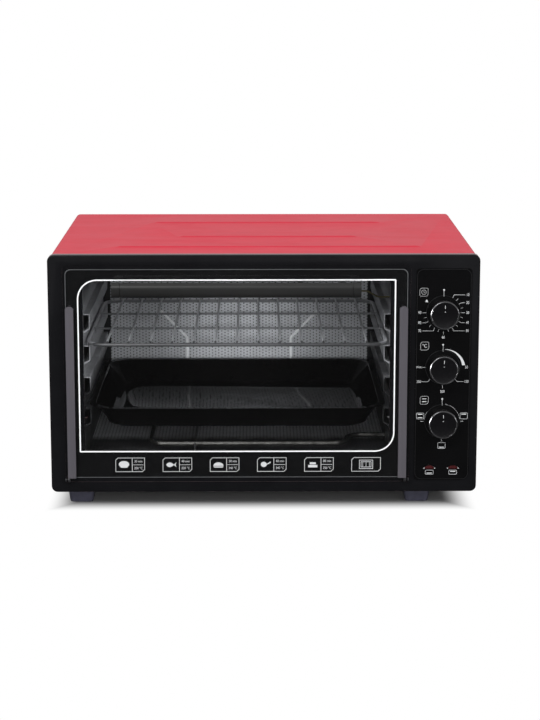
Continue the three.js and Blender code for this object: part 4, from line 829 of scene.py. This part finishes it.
signLook = dict(
    inMm(
        boxSize=10.6, boxRadii=(1.4, 3.0, 1.4, 3.0), clock=3.0, degrees=6.4,
        bars=(1.9, 2.9, 0.9),  # rise, half length and stroke
        oven=(9.6, 8.0), ovenCorner=1.2, lampOven=(10.4, 5.6), lampDrop=5.2,
        heater=(1.7, 1.1),  # inset and stroke
        lampDots=(7.0, 3.6, 0.7),  # painted glints beside the lens: aside, below the lens's top, radius
    ),
    boxes={"timer": (-26.0, 27.2), "thermostat": (-24.0, 28.4), "selector": (-23.6, 28.4)},
    hands=((0.0, 2.2), (0.0, 0.0), (1.5, -0.9)),
    degreesSlim=0.9,
    bell=(-22.2, 15.6, 0.8),  # place and size
    bellShape=((-2.4, -1.8), (2.4, -1.8), (1.7, -0.8), (1.4, 1.2), (0.0, 2.5), (-1.4, 1.2), (-1.7, -0.8)),
)
panelFace = (panelLow.y - panelPrint["lift"] - panelPrint["thick"], panelPrint["thick"])


def addDot(work, x, z, radius):
    addPlate(work, arcPoints((x, z), radius, 0, 345, 15), *panelFace)


def strokeOn(work, points, width, closed=False):
    addLine(work, points, width, *panelFace, closed)


def wordOn(work, words, x, z, size=panelPrint["numberSize"], slim=panelPrint["slim"]):
    addText(work, words, size, x, z, *panelFace, slim)


def around(centre, radius, angle):
    turn = math.radians(angle)
    return (centre.x + radius * math.sin(turn), centre.z + radius * math.cos(turn))


def addZero(work, centre):
    look = panelPrint
    strokeOn(work, [(centre.x, centre.z + look[key]) for key in ("zeroNear", "zeroFar")], look["stroke"])
    addDot(work, centre.x, centre.z + look["zeroDot"][0], look["zeroDot"][1])


def addNumbers(work, centre, marks):
    # Ticks that bend level and end at their numbers, and the lowest tick
    look = panelPrint
    for angle, height, words, side in marks["numbers"]:
        start, bend = [around(centre, look[key], angle) for key in ("tickNear", "tickFar")]
        level, label = centre.z + height * mm, centre.x + side * look["labelAcross"]
        stop = label - side * look["labelGap"]
        strokeOn(work, [start, (bend[0], level), (stop, level)], look["stroke"])
        size = look["numberSize"] * (look["wordShare"] if words.isalpha() else 1.0)
        wordOn(work, words, label, level, size)
    strokeOn(work, [around(centre, look[key], 180) for key in ("lowNear", "lowFar")], look["stroke"])
    wordOn(work, marks["low"], centre.x, centre.z - look["lowLabel"])


def addOvenSign(work, x, z, top, foot, size=signLook["oven"]):
    # An oven with a heavy line where its heater is on
    left, right, low, high = sidesOf(x, z, *size)
    corners = [signLook["ovenCorner"]] * 4
    strokeOn(work, roundedOutline(left, right, low, high, corners, 4), panelPrint["stroke"], True)
    inset, heavy = signLook["heater"]
    for on, level in ((top, high - inset), (foot, low + inset)):
        if on:
            strokeOn(work, [(left + inset, level), (right - inset, level)], heavy)


def makeTimerScale(work):
    centre, look = knobCentre["timer"], panelPrint
    addZero(work, centre)
    for angle in timerMarks["ticks"]:
        tick = [around(centre, look[key], angle) for key in ("tickNear", "shortTick")]
        strokeOn(work, tick, look["thin"])
    addNumbers(work, centre, timerMarks)


def makeThermostatScale(work):
    centre, look = knobCentre["thermostat"], thermostatMarks
    addZero(work, centre)
    start, end, steps = look["crescent"]
    outer, inner = [
        [around(centre, (near + (far - near) * i / steps) * mm, start + (end - start) * i / steps)
         for i in range(steps + 1)]
        for near, far in (look["outer"], look["inner"])
    ]
    addPlate(work, outer + inner[::-1], *panelFace)
    wordOn(work, look["first"], centre.x + panelPrint["labelAcross"], centre.z)
    addNumbers(work, centre, look)


def makeSelectorScale(work):
    centre, look, stroke = knobCentre["selector"], selectorMarks, panelPrint["stroke"]
    addZero(work, centre)
    for start, end, steps in look["arcs"]:
        points = arcPoints((centre.x, centre.z), look["arcRadius"], start, end, steps)
        strokeOn(work, points, panelPrint["thin"] * look["arcStroke"])
    for x, z, top, foot in look["signs"]:
        addOvenSign(work, centre.x + x * mm, centre.z + z * mm, top, foot)
    strokeOn(work, [(centre.x, centre.z + height * mm) for height in look["low"]], stroke)
    for side in (-1, 1):
        strokeOn(work, [(centre.x + side * reach * mm, centre.z) for reach in look["sides"]], stroke)


def makePanelSigns(work):
    look, thin = signLook, panelPrint["thin"]
    sides = look["boxSize"], look["boxSize"]
    spots = {}
    for name, (aside, up) in look["boxes"].items():
        x, z = spots[name] = knobCentre[name].x + aside * mm, knobCentre[name].z + up * mm
        strokeOn(work, roundedOutline(*sidesOf(x, z, *sides), look["boxRadii"], 4), thin, True)
    strokeOn(work, arcPoints(spots["timer"], look["clock"], 0, 345, 23), thin, True)
    x, z = spots["timer"]
    strokeOn(work, [(x + dx * mm, z + dz * mm) for dx, dz in look["hands"]], thin)
    wordOn(work, "°C", *spots["thermostat"], look["degrees"], look["degreesSlim"])
    x, z = spots["selector"]
    rise, reach, heavy = look["bars"]
    for level in (z - rise, z + rise):
        strokeOn(work, [(x - reach, level), (x + reach, level)], heavy)
    aside, up, size = look["bell"]
    x, z = knobCentre["timer"].x + aside * mm, knobCentre["timer"].z + up * mm
    addPlate(work, [(x + size * dx * mm, z + size * dz * mm) for dx, dz in look["bellShape"]], *panelFace)
    for side, top, foot in (("left", False, True), ("right", True, False)):
        low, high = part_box("pilot_lens_" + side)
        # White dots beside both ends of each pilot lens are painted glints
        x, (away, drop, radius) = (low.x + high.x) / 2, look["lampDots"]
        addOvenSign(work, x, low.z - look["lampDrop"], top, foot, look["lampOven"])
        for end in (-away, away):
            addDot(work, x + end, high.z - drop, radius)


def makeKnobRings():
    # Painted highlights: a faint ring on the panel round each knob, drawn as a recess edge catching light,
    # and a faint line along the panel's rim
    look = panelPrint
    work = bmesh.new()
    for centre in knobCentre.values():
        strokeOn(work, arcPoints((centre.x, centre.z), look["ring"], 0, 357, 119), look["ringWidth"], True)
    inset, corner = look["rim"]
    strokeOn(work, boxOutline(panelLow, panelHigh, inset, [corner] * 4, 10), look["ringWidth"], True)
    finishPiece("panel_rings", work, "faint_grey", "housing")


def makePanelPrints():
    work = bmesh.new()
    makeTimerScale(work)
    makeThermostatScale(work)
    makeSelectorScale(work)
    makePanelSigns(work)
    finishPiece("panel_prints", work, "print_white", "housing")


makePanelPrints()
makeKnobRings()
print("panel prints made")


# Knobs: turned skirt, waist and flat face, with a bright lip, a pointer line and a dot

knobShape = dict(  # profiles: radius and height above the knob's back, in mm
    inMm(
        pointer=(8.8, 13.2), pointerWidth=0.6, pointerHeight=18.72, pointerThick=0.06,
        dot=(4.8, 0.55),  # distance from the middle, and radius
    ),
    cap=(
        (0.0, 16.3), (3.4, 16.3), (3.4, 0.0), (16.9, 0.0), (17.3, 0.1), (17.5, 0.4), (17.7, 4.0),
        (18.2, 14.5), (18.35, 16.3), (18.5, 16.8), (18.5, 18.0), (17.6, 18.9), (17.0, 19.0), (16.4, 19.0),
        (15.9, 18.85), (15.3, 18.7), (0.0, 18.6),
    ),
    rim=(
        (18.3, 16.9), (18.6, 16.9), (18.74, 17.2), (18.75, 17.6), (18.68, 18.1), (18.48, 18.55),
        (18.15, 18.9), (17.75, 19.12), (17.4, 19.2), (17.1, 19.2), (16.95, 19.1), (16.95, 18.7),
        (18.3, 16.9),
    ),
)


def makeKnob(body):
    look, centre, back = knobShape, knobCentre[body], knobBoxes[body][1].y
    turned = (("cap", "knob_black", 40.0, (body + "_knob",)), ("rim", "knob_rim", 50.0, ()))
    for part, finish, sharp, instead in turned:
        work = bmesh.new()
        addTurned(work, look[part], (centre.x, back, centre.z))
        finishPiece(body + "_knob_" + part, work, finish, body, sharp, instead)
    face = (back - look["pointerHeight"], look["pointerThick"])
    mark = bmesh.new()
    addLine(mark, [(centre.x, centre.z + reach) for reach in look["pointer"]], look["pointerWidth"], *face)
    away, radius = look["dot"]
    addPlate(mark, arcPoints((centre.x, centre.z + away), radius, 0, 345, 15), *face)
    finishPiece(body + "_pointer", mark, "print_white", body)


for body in ("timer", "thermostat", "selector"):
    makeKnob(body)
print("knobs made")


# Screws that close the back

screwLook = dict(
    inMm(radius=3.4, height=1.9, inset=9, lift=0.02),
    steps=32,
    head=((1.0, 0.0), (1.0, 0.35), (0.93, 0.62), (0.78, 0.84), (0.55, 0.96), (0.32, 1.0)),
    recess=(0.12, 0.18, 0.45),  # narrow radius, what the cross adds, and floor, as shares
)


def addScrew(work, x, y, z):
    # A pan head with a cross recess, facing +y
    look, steps = screwLook, screwLook["steps"]
    narrow, wide, floor = look["recess"]
    turns = [2 * math.pi * i / steps for i in range(steps)]
    rings = [([share] * steps, rise) for share, rise in look["head"]]
    rings.append(([narrow + wide * abs(math.cos(2 * turn)) ** 3 for turn in turns], floor))
    rows = []
    for shares, rise in rings:
        rows.append([])
        for share, turn in zip(shares, turns):
            reach = look["radius"] * share
            spot = (x + reach * math.cos(turn), y + look["height"] * rise, z + reach * math.sin(turn))
            rows[-1].append(work.verts.new(spot))
    for first, second in zip(rows, rows[1:]):
        joinRows(work, first, second)
    work.faces.new(rows[0])
    work.faces.new(rows[-1])


def makeRearScrews():
    low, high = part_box("rear_panel")
    inset = screwLook["inset"]
    work = bmesh.new()
    for x in (low.x + inset, (low.x + high.x) / 2, high.x - inset):
        for z in (low.z + inset, high.z - inset):
            addScrew(work, x, high.y + screwLook["lift"], z)
    finishPiece("rear_screws", work, "zinc_steel", "housing", 30.0)


makeRearScrews()
print("screws made")


# A dark sheet behind the cooling slots of the right side: painted shade within the housing

ventShadeSheet = inMm(thick=0.3, behind=3.0, margin=6, fromBack=70, length=60, fromTop=62, height=100)


def makeVentShadeSheet():
    look, margin = ventShadeSheet, ventShadeSheet["margin"]
    low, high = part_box("outer_cover")
    face = high.x - look["behind"]
    top, back = high.z - look["fromTop"] + margin, high.y - look["fromBack"] + margin
    foot, front = top - look["height"] - 2 * margin, back - look["length"] - 2 * margin
    work = bmesh.new()
    addPlate(work, boxPoints(face - look["thick"], face, foot, top), front, back - front)
    finishPiece("vent_shade_sheet", work, "gland_plastic", "housing", 30.0)


makeVentShadeSheet()
print("shade_sheet made")


# Studio: pale floor, soft lamps and the photograph's camera

studio = dict(
    floorSize=9.0, floorDrop=0.2 * mm, floorRough=0.6, floorSpecular=0.2,
    floorColour=(0.42, 0.42, 0.425), shadowColour=(0.25, 0.25, 0.252),
    shadowCentre=(-0.003, 0.031),  # middle of the floor that keeps its shadow
    shadowFrom=(0.24, 0.179),  # its half width and half depth
    shadowFade=(0.046, 0.046),  # beyond them it turns white over these lengths
    ambient=0.5, glossWorld=0.42,
    floorGloss=0.035,  # what glossy surfaces see of the floor
    panes=2.5,  # a straight look through a pane has fewer bends than this
)
lamps = (  # name, place, aim, size, watts, the rays that see it, and the beam's angle in degrees if narrow
    ("keyLamp", (-1.1, -2.2, 2.1), (0.0, 0.0, 0.2), 1.5, 40.0, "all"),
    ("fillLamp", (1.6, -1.9, 1.3), (0.0, 0.0, 0.2), 1.6, 20.0, "diffuse"),
    ("topLamp", (0.0, 0.5, 2.6), (0.0, 0.0, 0.2), 2.2, 34.0, "diffuse"),
    ("frontLamp", (0.05, -2.5, 0.55), (0.0, 0.0, 0.18), 0.8, 22.0, "diffuse"),
    ("cavityLamp", (-0.03, -2.45, 0.66), (-0.031, 0.17, 0.152), 0.1, 170.0, "diffuse", 5.2),
    ("leftLamp", (-2.3, -1.15, 0.5), (0.2, -0.18, 0.25), 1.1, 330.0, "glossy"),
    ("rightLamp", (2.4, -1.3, 0.5), (0.2, -0.18, 0.25), 0.7, 14.0, "glossy"),
)
view = {
    "place": (-0.0109, -2.54335, 0.7266),
    "turn": (79.64, 0.0, -0.4545),
    "lens": dict(lens=93.06, sensor_width=36.0, sensor_fit="AUTO", shift_y=-0.1, clip_end=60.0),
}


def straightSight(tree, rays):
    # 1 where the camera sees a place itself or through one pane of glass
    near = calc(tree, "LESS_THAN", rays["Ray Depth"], studio["panes"])
    through = times(tree, rays["Is Transmission Ray"], near)
    return calc(tree, "MAXIMUM", rays["Is Camera Ray"], through)


def makeFloorLook():
    # The floor keeps the oven's shadow near it and turns white further out
    material, tree, shader = newMaterial("floor")
    where = partsOf(tree, spotOn(tree))
    spans = []
    for axis in (0, 1):
        away = calc(tree, "ABSOLUTE", minus(tree, where[axis], studio["shadowCentre"][axis]))
        start = studio["shadowFrom"][axis]
        end = start + studio["shadowFade"][axis]
        spans.append(rangeMap(tree, away, start, end, interpolation_type="SMOOTHSTEP"))
    far = calc(tree, "MAXIMUM", *spans)
    rays = addNode(tree, "LightPath").outputs
    seen = straightSight(tree, rays)
    feed(tree, shader, {
        "Base Color": mixColour(tree, seen, studio["floorColour"], studio["shadowColour"]),
        "Roughness": studio["floorRough"], "Specular IOR Level": studio["floorSpecular"],
    })
    glossy = times(tree, rays["Is Glossy Ray"], minus(tree, 1.0, seen))
    strength = rangeMap(tree, seen, 0.0, 1.0, studio["floorGloss"], 1.0)
    beyond = addNode(tree, "Emission", {"Color": (1, 1, 1, 1), "Strength": strength}).outputs[0]
    showMixed(tree, calc(tree, "MAXIMUM", times(tree, far, seen), glossy), beyond)
    return material


def makeFloor():
    work = bmesh.new()
    bmesh.ops.create_grid(work, x_segments=1, y_segments=1, size=studio["floorSize"])
    mesh = bpy.data.meshes.new("studioFloor")
    work.to_mesh(mesh)
    work.free()
    mesh.materials.append(makeFloorLook())
    floor = addObject("studioFloor", mesh)
    floor.location.z = -studio["floorDrop"]


def makeWorld():
    world = bpy.data.worlds.new("studioWorld")
    scene.world = world
    world.use_nodes = True
    tree = world.node_tree
    tree.nodes.clear()
    rays = addNode(tree, "LightPath").outputs
    ambient, glossy = studio["ambient"], studio["glossWorld"]
    level = calc(tree, "MULTIPLY_ADD", rays["Is Glossy Ray"], glossy - ambient, ambient)
    strength = calc(tree, "MAXIMUM", straightSight(tree, rays), level)
    sky = addNode(tree, "Background", {"Color": (1, 1, 1, 1), "Strength": strength}).outputs[0]
    addNode(tree, "OutputWorld", {"Surface": sky})


def makeLamp(name, spot, aim, size, watts, seenBy, beam=None):
    data = setAll(bpy.data.lights.new(name, "SPOT" if beam else "AREA"), energy=watts)
    if beam:
        setAll(data, spot_size=math.radians(beam), spot_blend=1.0, shadow_soft_size=size / 2)
    else:
        setAll(data, shape="DISK", size=size)
    lamp = setAll(addObject(name, data), location=spot, visible_transmission=False,
                  visible_glossy=seenBy != "diffuse", visible_diffuse=seenBy != "glossy")
    if seenBy == "glossy":
        lamp.light_linking.receiver_collection = glintOn
    lamp.rotation_euler = (Vector(aim) - Vector(spot)).to_track_quat("-Z", "Y").to_euler()


def makeCamera():
    data = setAll(bpy.data.cameras.new("photoCamera"), **view["lens"])
    data.dof.use_dof = False
    turn = [math.radians(angle) for angle in view["turn"]]
    scene.camera = setAll(addObject("photoCamera", data), location=view["place"], rotation_euler=turn)


glintOn = bpy.data.collections.new("glintOn")  # the side lamps show in the knobs' bright rims alone
for piece in scene.objects:
    if piece.name.endswith("_knob_rim"):
        glintOn.objects.link(piece)
makeFloor()
makeWorld()
for lamp in lamps:
    makeLamp(*lamp)
makeCamera()
print("studio made")
